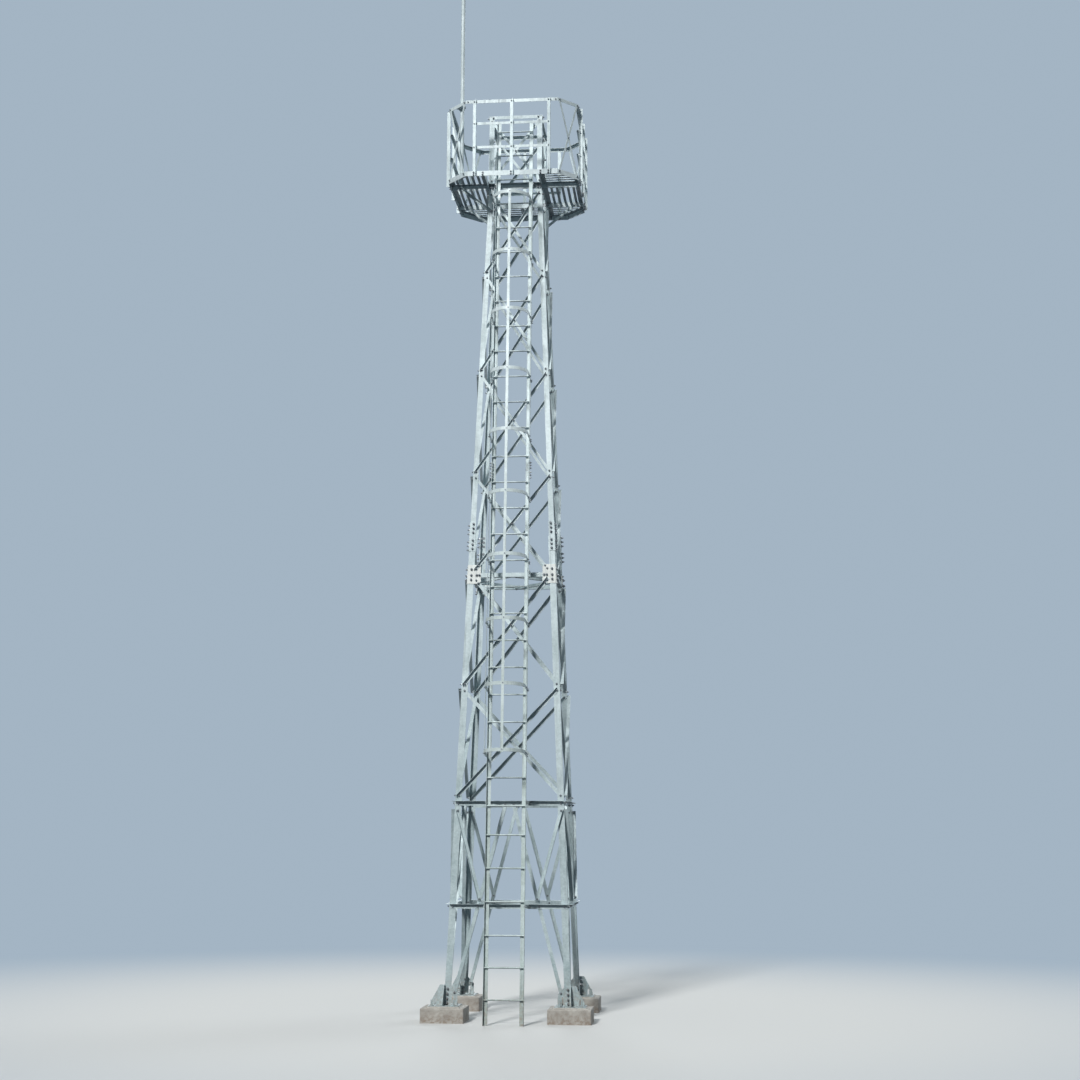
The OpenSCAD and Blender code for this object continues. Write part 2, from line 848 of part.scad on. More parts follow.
// Split collar that holds the mast to the corner's top rail
module mast_clamp() {
    collar_h = 50;
    collar_t = 8;
    arm_w = 70;
    from_pier()
        color(shaded_zinc)
            on_deck_side(7)
                translate([0, 0, rail_top_z - collar_h - post_t])
                    difference() {
                        union() {
                            translate([0, mast_in, 0])
                                cylinder(d = mast_d + 2 * collar_t, h = collar_h, $fn = 48);
                            translate([-arm_w / 2, post_t, 0])
                                cube([arm_w, mast_in - post_t, collar_h]);
                        }
                        translate([0, mast_in, -1])
                            cylinder(d = mast_d, h = collar_h + 2, $fn = 48);
                    }
}

piers();
foot_plates();
lower_leg(0);  // lower_leg_front_left
lower_leg(1);  // lower_leg_front_right
lower_leg(2);  // lower_leg_back_right
lower_leg(3);  // lower_leg_back_left
upper_leg(0);  // upper_leg_front_left
upper_leg(1);  // upper_leg_front_right
upper_leg(2);  // upper_leg_back_right
upper_leg(3);  // upper_leg_back_left
leg_splices();
base_bracing(0);  // base_bracing_front
base_bracing(1);  // base_bracing_right
base_bracing(2);  // base_bracing_back
base_bracing(3);  // base_bracing_left
mid_bracing(0);  // mid_bracing_front
mid_bracing(1);  // mid_bracing_right
mid_bracing(2);  // mid_bracing_back
mid_bracing(3);  // mid_bracing_left
upper_bracing(0);  // upper_bracing_front
upper_bracing(1);  // upper_bracing_right
upper_bracing(2);  // upper_bracing_back
upper_bracing(3);  // upper_bracing_left
splice_diaphragm();
crown_posts();
crown_bracing();
ladder_lower();
ladder_upper();
ladder_brackets();
cage_hoops();
cage_bars();
platform_frame();
floor_wing(3);  // floor_left
floor_wing(1);  // floor_right
floor_back();
floor_front_corners();
guard(0);  // guard_front
guard(1);  // guard_right
guard(2);  // guard_back
guard(3);  // guard_left
corner_guards();
knee_braces();
mast();
mast_clamp();
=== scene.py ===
"""Dresses the lattice lookout tower: zinc finishes, bolts, welds, cast piers, floor, lamps and camera."""

import json
import logging
import math
import random
from dataclasses import dataclass
from enum import Enum
from typing import Callable, Iterable, Iterator, Sequence

import bmesh
import bpy
from mathutils import Matrix, Vector, noise


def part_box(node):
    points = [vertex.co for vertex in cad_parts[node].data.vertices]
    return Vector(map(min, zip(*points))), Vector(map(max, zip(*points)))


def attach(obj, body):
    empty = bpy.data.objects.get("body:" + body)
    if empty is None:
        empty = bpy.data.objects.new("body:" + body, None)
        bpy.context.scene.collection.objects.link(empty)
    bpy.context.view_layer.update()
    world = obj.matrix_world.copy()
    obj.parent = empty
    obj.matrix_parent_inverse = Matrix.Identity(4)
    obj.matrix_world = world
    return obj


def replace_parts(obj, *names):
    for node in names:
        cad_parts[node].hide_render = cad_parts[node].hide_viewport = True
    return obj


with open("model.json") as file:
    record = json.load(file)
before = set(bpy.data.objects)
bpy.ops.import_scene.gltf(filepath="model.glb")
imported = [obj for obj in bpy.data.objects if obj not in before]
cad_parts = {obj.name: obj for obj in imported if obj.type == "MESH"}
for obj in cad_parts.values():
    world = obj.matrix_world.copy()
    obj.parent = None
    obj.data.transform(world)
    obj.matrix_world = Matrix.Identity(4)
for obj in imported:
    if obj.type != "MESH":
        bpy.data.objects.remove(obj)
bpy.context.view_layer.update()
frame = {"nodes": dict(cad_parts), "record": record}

log = logging.getLogger("tower")
Colour = tuple[float, float, float]
Pair = tuple[float, float]
Spot = Sequence[float]
Value = object
Inputs = dict[str | int, Value]
Node = bpy.types.Node
Socket = bpy.types.NodeSocket
Outputs = dict[str, Socket]
Material = bpy.types.Material
BMesh = bmesh.types.BMesh

ENDS = (-1, 1)
CORNERS = ((-1, -1), (-1, 1), (1, -1), (1, 1))
OUTWARDS = (0.0, -1.0, 0.0)
INWARDS = (0.0, 1.0, 0.0)
UPWARDS = (0.0, 0.0, 1.0)
DOWNWARDS = (0.0, 0.0, -1.0)
FINE = 1e-6


class Slot(Enum):
    """The record's material slots."""

    GALVANISED = "galvanised"
    LADDER = "ladder_steel"
    DECK = "deck_steel"
    MAST = "mast_steel"
    CONCRETE = "concrete"


class NodeSheet:
    """A node tree with short calls for the nodes that the finishes use."""

    def __init__(self, tree: bpy.types.NodeTree) -> None:
        """Start on a tree that already exists."""
        self.tree = tree

    def feed(self, node: Node, values: Inputs) -> None:
        """Give a node its inputs.

        Args:
            node: the node.
            values: a socket to link, a number or a colour for each input, by name or number.
        """
        for key, value in values.items():
            socket = node.inputs[key]
            if isinstance(value, Socket):
                self.tree.links.new(value, socket)
            else:
                socket.default_value = (*value, 1.0) if socket.type == "RGBA" else value

    def add(self, kind: str, values: Inputs | None = None, **settings: object) -> Node:
        """Add a node.

        Args:
            kind: the node's type, without the ShaderNode prefix.
            values: its inputs, as for feed.
            settings: properties to set on the new node.

        Returns:
            The new node.
        """
        node = self.tree.nodes.new("ShaderNode" + kind)
        for name, value in settings.items():
            setattr(node, name, value)
        self.feed(node, values or {})
        return node

    def call(self, group: bpy.types.NodeTree, **values: Value) -> Node:
        """Place a shared group with its inputs and return its node."""
        return self.add("Group", values, node_tree=group)

    def sums(self, operation: str, first: Value, second: Value, clamp: bool = False) -> Socket:
        """Combine two values by a Math node's operation, kept between 0 and 1 where clamp is set."""
        return self.add("Math", {0: first, 1: second}, operation=operation, use_clamp=clamp).outputs[0]

    def times(self, first: Value, second: Value) -> Socket:
        """Multiply two values."""
        return self.sums("MULTIPLY", first, second)

    def spread(self, value: Value, low: float, high: float, to_low: float = 0.0,
               to_high: float = 1.0) -> Socket:
        """Map a value from one range to another, kept inside the second one.

        Args:
            value: the socket to map.
            low: the value that gives to_low.
            high: the value that gives to_high.
            to_low: the first end of the result.
            to_high: the other end of the result.

        Returns:
            The result's socket.
        """
        ranges = {"Value": value, "From Min": low, "From Max": high, "To Min": to_low, "To Max": to_high}
        return self.add("MapRange", ranges, interpolation_type="SMOOTHSTEP").outputs["Result"]

    def blend(self, share: Value, first: Value, second: Value) -> Socket:
        """Mix two colours: share is how much of the second one shows, from 0 to 1."""
        node = self.add("Mix", {0: share, 6: first, 7: second}, data_type="RGBA", clamp_factor=True)
        return node.outputs[2]

    def grain(self, place: Value, scale: Value, detail: float = 3.0, rough: float = 0.55) -> Socket:
        """Noise from 0 to 1 at a point.

        Args:
            place: the socket that gives the point.
            scale: features per metre.
            detail: the number of finer layers.
            rough: how strong the finer layers are.

        Returns:
            The noise value's socket.
        """
        values = {"Vector": place, "Scale": scale, "Detail": detail, "Roughness": rough}
        return self.add("TexNoise", values).outputs["Fac"]

    def cells(self, place: Value, scale: Value) -> Node:
        """Place a pattern of cells and return its node."""
        return self.add("TexVoronoi", {"Vector": place, "Scale": scale}, feature="F1")

    def height(self, vector: Value) -> Socket:
        """The Z of a vector."""
        return self.add("SeparateXYZ", {0: vector}).outputs["Z"]

    def relief(self, height: Value, strength: float, depth: float) -> Socket:
        """Turn a height into a normal, with the strength and the depth in metres given."""
        values = {"Strength": strength, "Distance": depth, "Height": height}
        return self.add("Bump", values).outputs["Normal"]


class EffectGroups:
    """The shader node groups that several finishes share."""

    def __init__(self) -> None:
        """Build every group once. An input of None is a vector, and the others are numbers."""
        self.spangle = self._group("zinc_spangle", self._spangle, Vector=None, Crystals=40.0)
        self.streaks = self._group("rain_streaks", self._streaks, Vector=None, Across=22.0)
        self.tone = self._group("patchy_tone", self._tone, Vector=None, Patches=1.1)
        self.splash = self._group("earth_splash", self._splash, Vector=None, Height=0.6)
        self.pits = self._group("cast_pits", self._pits, Vector=None, Holes=55.0)
        # Painted shade that darkens the zinc lower down the tower.
        self.age = self._group("painted_shade_by_height", self._age, Vector=None, Old=1.5, New=8.5)
        # Painted shade on faces that look down.
        self.underside_shade = self._group("painted_underside_shade", self._underside_shade, Vector=None, Facing=None)

    def _group(self, name: str, inside: Callable[..., Outputs],
               **inputs: float | None) -> bpy.types.NodeTree:
        """Build one group.

        Args:
            name: the group's name.
            inside: the method that fills it, given the sheet and the sockets of the inputs.
            inputs: each input's default, None for a vector.

        Returns:
            The group's tree.
        """
        tree = bpy.data.node_groups.new(name, "ShaderNodeTree")
        for socket, value in inputs.items():
            kind = "NodeSocketVector" if value is None else "NodeSocketFloat"
            made = tree.interface.new_socket(socket, in_out="INPUT", socket_type=kind)
            if value is not None:
                made.default_value = value
        sheet, given = NodeSheet(tree), tree.nodes.new("NodeGroupInput")
        outputs = inside(sheet, *(given.outputs[socket] for socket in inputs))
        for socket in outputs:
            tree.interface.new_socket(socket, in_out="OUTPUT", socket_type="NodeSocketFloat")
        sheet.feed(tree.nodes.new("NodeGroupOutput"), outputs)
        return tree

    def _spangle(self, sheet: NodeSheet, place: Socket, crystals: Socket) -> Outputs:
        """Zinc crystals: Shade differs from one crystal to the next, Relief is their slight height.

        Args:
            sheet: the sheet of the group.
            place: the socket of the point.
            crystals: the socket of the crystals per metre.

        Returns:
            The socket of each output.
        """
        bend = sheet.add("TexNoise", {"Vector": place, "Scale": 28.0}).outputs["Color"]
        bent = sheet.add("VectorMath", {0: bend, 1: (0.02, 0.02, 0.02), 2: place}, operation="MULTIPLY_ADD")
        cells = sheet.cells(bent.outputs["Vector"], crystals)
        shade = sheet.add("SeparateColor", {0: cells.outputs["Color"]}).outputs[0]
        return {"Shade": shade, "Relief": cells.outputs["Distance"]}

    def _streaks(self, sheet: NodeSheet, place: Socket, across: Socket) -> Outputs:
        """Runs of rain down the steel, long in Z and narrow across it.

        Args:
            sheet: the sheet of the group.
            place: the socket of the point.
            across: the socket of the runs per metre.

        Returns:
            The socket of each output.
        """
        stretched = sheet.add("VectorMath", {0: place, 1: (1.0, 1.0, 0.05)}, operation="MULTIPLY")
        runs = sheet.grain(stretched.outputs["Vector"], across, detail=4.0, rough=0.6)
        gaps = sheet.grain(place, 1.7, detail=2.0)
        return {"Mask": sheet.times(sheet.spread(runs, 0.48, 0.72), sheet.spread(gaps, 0.38, 0.6))}

    def _tone(self, sheet: NodeSheet, place: Socket, patches: Socket) -> Outputs:
        """Slow change of shade from one bar to the next, with cloudy patches on it.

        Args:
            sheet: the sheet of the group.
            place: the socket of the point.
            patches: the socket of the slow patches per metre.

        Returns:
            The socket of each output.
        """
        slow = sheet.grain(place, patches, detail=2.0)
        quick = sheet.grain(place, 9.0, detail=5.0, rough=0.65)
        slow_share = sheet.times(sheet.spread(slow, 0.32, 0.68), 0.6)
        quick_share = sheet.times(sheet.spread(quick, 0.35, 0.65), 0.4)
        return {"Tone": sheet.sums("ADD", slow_share, quick_share, clamp=True)}

    def _splash(self, sheet: NodeSheet, place: Socket, height: Socket) -> Outputs:
        """Earth thrown up by rain: strong at the ground, gone at the given height.

        Args:
            sheet: the sheet of the group.
            place: the socket of the point.
            height: the socket of the height that the earth reaches.

        Returns:
            The socket of each output.
        """
        rise = sheet.sums("DIVIDE", sheet.height(place), height)
        fade = sheet.sums("SUBTRACT", 1.0, rise, clamp=True)
        specks = sheet.spread(sheet.grain(place, 24.0, detail=6.0, rough=0.7), 0.4, 0.62, to_low=0.15)
        return {"Mask": sheet.times(fade, specks)}

    def _pits(self, sheet: NodeSheet, place: Socket, holes: Socket) -> Outputs:
        """Air holes and sand in cast concrete.

        Args:
            sheet: the sheet of the group.
            place: the socket of the point.
            holes: the socket of the holes per metre.

        Returns:
            The socket of each output.
        """
        distance = sheet.cells(place, holes).outputs["Distance"]
        where = sheet.spread(sheet.grain(place, 7.0, detail=2.0), 0.45, 0.6)
        hole = sheet.times(sheet.spread(distance, 0.1, 0.3, to_low=1.0, to_high=0.0), where)
        return {"Holes": hole, "Sand": sheet.grain(place, 210.0, rough=0.7)}

    def _age(self, sheet: NodeSheet, place: Socket, shaded_below: Socket, new: Socket) -> Outputs:
        """Painted shade by height, darker lower down the tower: 1 below Old, 0 above New.

        Args:
            sheet: the sheet of the group.
            place: the socket of the point.
            shaded_below: the socket of the height below which the painted shade is full.
            new: the socket of the height above which there is no painted shade.

        Returns:
            The socket of each output.
        """
        above = sheet.sums("SUBTRACT", sheet.height(place), shaded_below)
        share = sheet.sums("DIVIDE", above, sheet.sums("SUBTRACT", new, shaded_below), clamp=True)
        return {"Mask": sheet.sums("SUBTRACT", 1.0, share, clamp=True)}

    def _underside_shade(self, sheet: NodeSheet, place: Socket, facing: Socket) -> Outputs:
        """Painted shade on faces that look down, in patches.

        Args:
            sheet: the sheet of the group.
            place: the socket of the point.
            facing: the socket of the face's direction.

        Returns:
            The socket of each output.
        """
        down = sheet.spread(sheet.times(sheet.height(facing), -1.0), 0.05, 0.6)
        patches = sheet.spread(sheet.grain(place, 6.0, detail=4.0, rough=0.6), 0.3, 0.7, to_low=0.75)
        return {"Mask": sheet.times(down, patches)}


def new_material(name: str) -> tuple[Material, NodeSheet, Node, Socket]:
    """Start a material and return it with its sheet, its Principled BSDF and its Object coordinates.

    Args:
        name: the material's name.

    Returns:
        The material, its sheet, its Principled BSDF and its Object coordinates.
    """
    material = bpy.data.materials.new(name)
    material.use_nodes = True
    sheet = NodeSheet(material.node_tree)
    return material, sheet, sheet.tree.nodes["Principled BSDF"], sheet.add("TexCoord").outputs["Object"]


@dataclass(frozen=True)
class ZincFinish:
    """Hot dip galvanised steel, bright to dull zinc, with painted shade lower down and on downward faces."""

    name: str
    bright: Colour = (0.77, 0.88, 0.91)
    # The dull end is also the colour that the painted shade by height darkens the zinc towards.
    dull_and_shaded: Colour = (0.31, 0.40, 0.42)
    stain: Colour = (0.25, 0.30, 0.33)
    earth: Colour = (0.27, 0.21, 0.16)
    # The colour of the painted shade on faces that look down.
    painted_shade: Colour = (0.10, 0.14, 0.17)
    stain_share: float = 0.45
    earth_share: float = 0.75
    # Shares of the painted shade on faces that look down, and of the painted shade lower down.
    painted_shade_share: float = 0.85
    height_shade_share: float = 0.55
    metallic: float = 0.06
    shine: float = 0.22
    crystals: float = 42.0
    crystal_middle: float = 0.5
    crystal_contrast: float = 0.16
    streak_gloss: float = 0.5
    smooth: float = 0.40
    rough: float = 0.58
    splash_height: float = 0.75
    fine_grain: float = 160.0
    relief_strength: float = 0.25
    relief_depth: float = 0.0006

    def build(self, effects: EffectGroups) -> Material:
        """Make the material.

        Args:
            effects: the shared node groups.

        Returns:
            The finished material.
        """
        material, sheet, shader, place = new_material(self.name)
        crystals = sheet.call(effects.spangle, Vector=place, Crystals=self.crystals)
        tone = sheet.call(effects.tone, Vector=place).outputs["Tone"]
        streaks = sheet.call(effects.streaks, Vector=place).outputs["Mask"]
        earth = sheet.call(effects.splash, Vector=place, Height=self.splash_height).outputs["Mask"]
        facing = sheet.add("NewGeometry").outputs["Normal"]
        # Painted shade: darker lower down the tower, and on faces that look down.
        age = sheet.call(effects.age, Vector=place).outputs["Mask"]
        painted_shade = sheet.call(effects.underside_shade, Vector=place, Facing=facing).outputs["Mask"]
        lighter = sheet.sums("SUBTRACT", crystals.outputs["Shade"], self.crystal_middle)
        shade = sheet.times(lighter, self.crystal_contrast)
        # Random tone plus painted shade by height.
        tone_and_shade = sheet.sums("ADD", sheet.times(tone, 1.0 - self.height_shade_share), sheet.times(age, self.height_shade_share))
        colour = sheet.blend(sheet.sums("ADD", tone_and_shade, shade, clamp=True), self.bright, self.dull_and_shaded)
        for mask, share, shown in (
            (streaks, self.stain_share, self.stain),
            (painted_shade, self.painted_shade_share, self.painted_shade),
            (earth, self.earth_share, self.earth),
        ):
            colour = sheet.blend(sheet.times(mask, share), colour, shown)
        gloss = sheet.sums("ADD", tone, sheet.times(streaks, self.streak_gloss), clamp=True)
        height = sheet.sums("ADD", crystals.outputs["Relief"], sheet.grain(place, self.fine_grain))
        sheet.feed(shader, {
            "Base Color": colour,
            "Metallic": self.metallic,
            "Specular IOR Level": self.shine,
            "Roughness": sheet.spread(gloss, 0.0, 1.0, self.smooth, self.rough),
            "Normal": sheet.relief(height, self.relief_strength, self.relief_depth),
        })
        return material


@dataclass(frozen=True)
class ConcreteFinish:
    """Small hand cast blocks: pale cement skin, sand, air holes and earth at the foot."""

    name: str = "cast_concrete"
    pale: Colour = (0.55, 0.54, 0.50)
    dark: Colour = (0.36, 0.34, 0.31)
    hole: Colour = (0.16, 0.15, 0.14)
    earth: Colour = (0.25, 0.19, 0.14)
    patches: float = 6.0
    sand_from: float = 0.42
    sand_to: float = 0.7
    sand_share: float = 0.35
    hole_share: float = 0.7
    earth_share: float = 0.8
    splash_height: float = 0.22
    smooth: float = 0.82
    rough: float = 0.95
    relief_strength: float = 0.6
    relief_depth: float = 0.003

    def build(self, effects: EffectGroups) -> Material:
        """Make the material.

        Args:
            effects: the shared node groups.

        Returns:
            The finished material.
        """
        material, sheet, shader, place = new_material(self.name)
        tone = sheet.call(effects.tone, Vector=place, Patches=self.patches).outputs["Tone"]
        cast = sheet.call(effects.pits, Vector=place)
        earth = sheet.call(effects.splash, Vector=place, Height=self.splash_height).outputs["Mask"]
        sand = sheet.spread(cast.outputs["Sand"], self.sand_from, self.sand_to, to_high=self.sand_share)
        colour = sheet.blend(sand, sheet.blend(tone, self.pale, self.dark), self.dark)
        colour = sheet.blend(sheet.times(cast.outputs["Holes"], self.hole_share), colour, self.hole)
        height = sheet.sums("SUBTRACT", cast.outputs["Sand"], cast.outputs["Holes"])
        sheet.feed(shader, {
            "Base Color": sheet.blend(sheet.times(earth, self.earth_share), colour, self.earth),
            "Roughness": sheet.spread(tone, 0.0, 1.0, self.smooth, self.rough),
            "Normal": sheet.relief(height, self.relief_strength, self.relief_depth),
        })
        return material


def shift(x: float = 0.0, y: float = 0.0, z: float = 0.0) -> Matrix:
    """A move along the axes."""
    return Matrix.Translation((x, y, z))


def turn(degrees: float, axis: str) -> Matrix:
    """A turn about an axis."""
    return Matrix.Rotation(math.radians(degrees), 4, axis)


def aimed(way: Spot) -> Matrix:
    """The turn that points +Z in a direction."""
    return Vector(UPWARDS).rotation_difference(Vector(way)).to_matrix().to_4x4()


def cut_edges(part: BMesh, edges: Iterable[bmesh.types.BMEdge], cut: float, segments: int = 1) -> None:
    """Bevel some edges of a part by a width, in one or more segments."""
    bmesh.ops.bevel(part, geom=list(edges), offset=cut, segments=segments, profile=0.5, affect="EDGES",
                    material=-1)


def cuboid(low: Spot, high: Spot) -> BMesh:
    """A plain block between two opposite corners.

    Args:
        low: one corner.
        high: the opposite corner.

    Returns:
        The block, not yet in the scene.
    """
    first, second = Vector(low), Vector(high)
    size = Matrix.Diagonal((*(abs(value) for value in second - first), 1.0))
    part = bmesh.new()
    bmesh.ops.create_cube(part, size=1.0, matrix=Matrix.Translation((first + second) / 2) @ size)
    return part


def as_mesh(maker: BMesh, name: str) -> bpy.types.Mesh:
    """Turn a finished bmesh into a mesh and free it.

    Args:
        maker: the shape; it is freed.
        name: the mesh's name.

    Returns:
        The new mesh.
    """
    mesh = bpy.data.meshes.new(name)
    maker.to_mesh(mesh)
    maker.free()
    return mesh


def put(name: str, data: bpy.types.ID) -> bpy.types.Object:
    """Make an object and link it to the scene.

    Args:
        name: the object's name.
        data: its mesh, lamp or camera.

    Returns:
        The new object.
    """
    thing = bpy.data.objects.new(name, data)
    bpy.context.scene.collection.objects.link(thing)
    return thing


@dataclass
class Lattice:
    """The tapering body about its own axis, in metres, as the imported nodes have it."""

    ring_low: float = 1.54
    ring_high: float = 2.95
    mid_node: float = 4.58
    splice_ring: float = 6.2
    upper_nodes: tuple[float, float, float] = (7.69, 9.24, 10.77)
    ring_a: float = 0.063
    ring_t: float = 0.005
    leg_t: float = 0.008
    upper_leg_t: float = 0.006
    gusset_t: float = 0.006
    beam_t: float = 0.006

    def __post_init__(self) -> None:
        """Read the axis, the heights and the slope from the piers, the legs and the crown."""
        pier_low, pier_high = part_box("piers")
        foot_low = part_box("lower_leg_front_left")[0]
        head_low, head_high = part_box("upper_leg_front_left")
        crown_low, crown_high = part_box("crown_posts")
        middle = (pier_low + pier_high) / 2
        self.axis = Vector((middle.x, middle.y, 0.0))
        self.base = pier_high.z
        self.pier_reach = middle.x - pier_low.x
        self.leg_joint = head_low.z
        self.leg_top = head_high.z
        self.slope = (head_low.x - foot_low.x) / (head_low.z - foot_low.z)
        self.foot_half = middle.x - foot_low.x + self.slope * (foot_low.z - self.base)
        self.top_half = (crown_high.x - crown_low.x) / 2
        self.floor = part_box("platform_frame")[1].z
        self.crown_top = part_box("crown_bracing")[1].z

    def half_at(self, z: float) -> float:
        """Half the width between the legs' heels at a height."""
        return self.foot_half - (z - self.base) * self.slope

    def up_face(self, z: float) -> float:
        """Distance from the foot of a face up its slope to a height."""
        return (z - self.base) * math.hypot(1.0, self.slope)

    def by_leg(self, end: int, z: float, inset: float, out: float) -> Vector:
        """A point on a face: inset from the heel at one end, at a height, and out from the face's plane."""
        return Vector((end * (self.half_at(z) - inset), -out, self.up_face(z)))

    def turned(self, quarter: float) -> Matrix:
        """The frame of one side of the tower, with the axis as its origin and -Y outwards."""
        return Matrix.Translation(self.axis) @ turn(90.0 * quarter, "Z")

    def on_face(self, side: int) -> Matrix:
        """The frame of one sloping face: X along it, Y inwards from its plane, Z up its slope."""
        lean = math.degrees(math.atan(self.slope))
        return self.turned(side) @ shift(y=-self.foot_half, z=self.base) @ turn(-lean, "X")


@dataclass(frozen=True)
class Fastener:
    """A hexagon bolt with its washer and nut, drawn along Z with the nut's side up."""

    shank_d: float = 0.016
    flats: float = 0.024
    head_h: float = 0.010
    nut_h: float = 0.014
    washer_d: float = 0.030
    washer_t: float = 0.003
    stick_out: float = 0.012
    hexagon_cut: float = 0.08
    tip_cut: float = 0.12
    overlap: float = 0.001

    @staticmethod
    def _prism(maker: BMesh, sides: int, radius: float, start: float, rim: float, cut: float = 0.0) -> None:
        """Add a closed prism along Z.

        Args:
            maker: the shape that takes it.
            sides: the number of its sides.
            radius: the radius to its corners.
            start: the Z of its plain end.
            rim: the Z of its other end.
            cut: how far the edges of that other end are cut back.
        """
        bmesh.ops.create_cone(maker, cap_ends=True, segments=sides, radius1=radius, radius2=radius,
                              depth=abs(rim - start), matrix=shift(z=(start + rim) / 2))
        if cut:
            cut_edges(maker, (edge for edge in maker.edges
                              if all(abs(end.co.z - rim) < FINE for end in edge.verts)), cut)

    def mesh(self, grip: float) -> bpy.types.Mesh:
        """Model one bolt.

        Args:
            grip: the thickness that it holds, in metres.

        Returns:
            A mesh whose origin lies on the surface under the nut's washer.
        """
        maker = bmesh.new()
        corner, cut = self.flats / math.sqrt(3.0), self.flats * self.hexagon_cut
        nut_top = self.washer_t + self.nut_h
        tip = nut_top + self.stick_out
        self._prism(maker, 12, self.washer_d / 2, 0.0, self.washer_t)
        self._prism(maker, 6, corner, self.washer_t, nut_top, cut)
        self._prism(maker, 8, self.shank_d / 2, nut_top - self.overlap, tip, self.shank_d * self.tip_cut)
        if self.head_h:
            self._prism(maker, 6, corner, -grip, -grip - self.head_h, cut)
        return as_mesh(maker, "bolt")


HEAVY = Fastener(shank_d=0.020, flats=0.030, head_h=0.0125, nut_h=0.016, washer_d=0.037, stick_out=0.018)
PLAIN = Fastener()
LIGHT = Fastener(shank_d=0.012, flats=0.019, head_h=0.0075, nut_h=0.010, washer_d=0.024, washer_t=0.0025,
                 stick_out=0.009)
SMALL = Fastener(shank_d=0.010, flats=0.017, head_h=0.0064, nut_h=0.008, washer_d=0.020, washer_t=0.002,
                 stick_out=0.006)
ANCHOR = Fastener(shank_d=0.024, flats=0.036, head_h=0.0, nut_h=0.019, washer_d=0.056, washer_t=0.005,
                  stick_out=0.058)


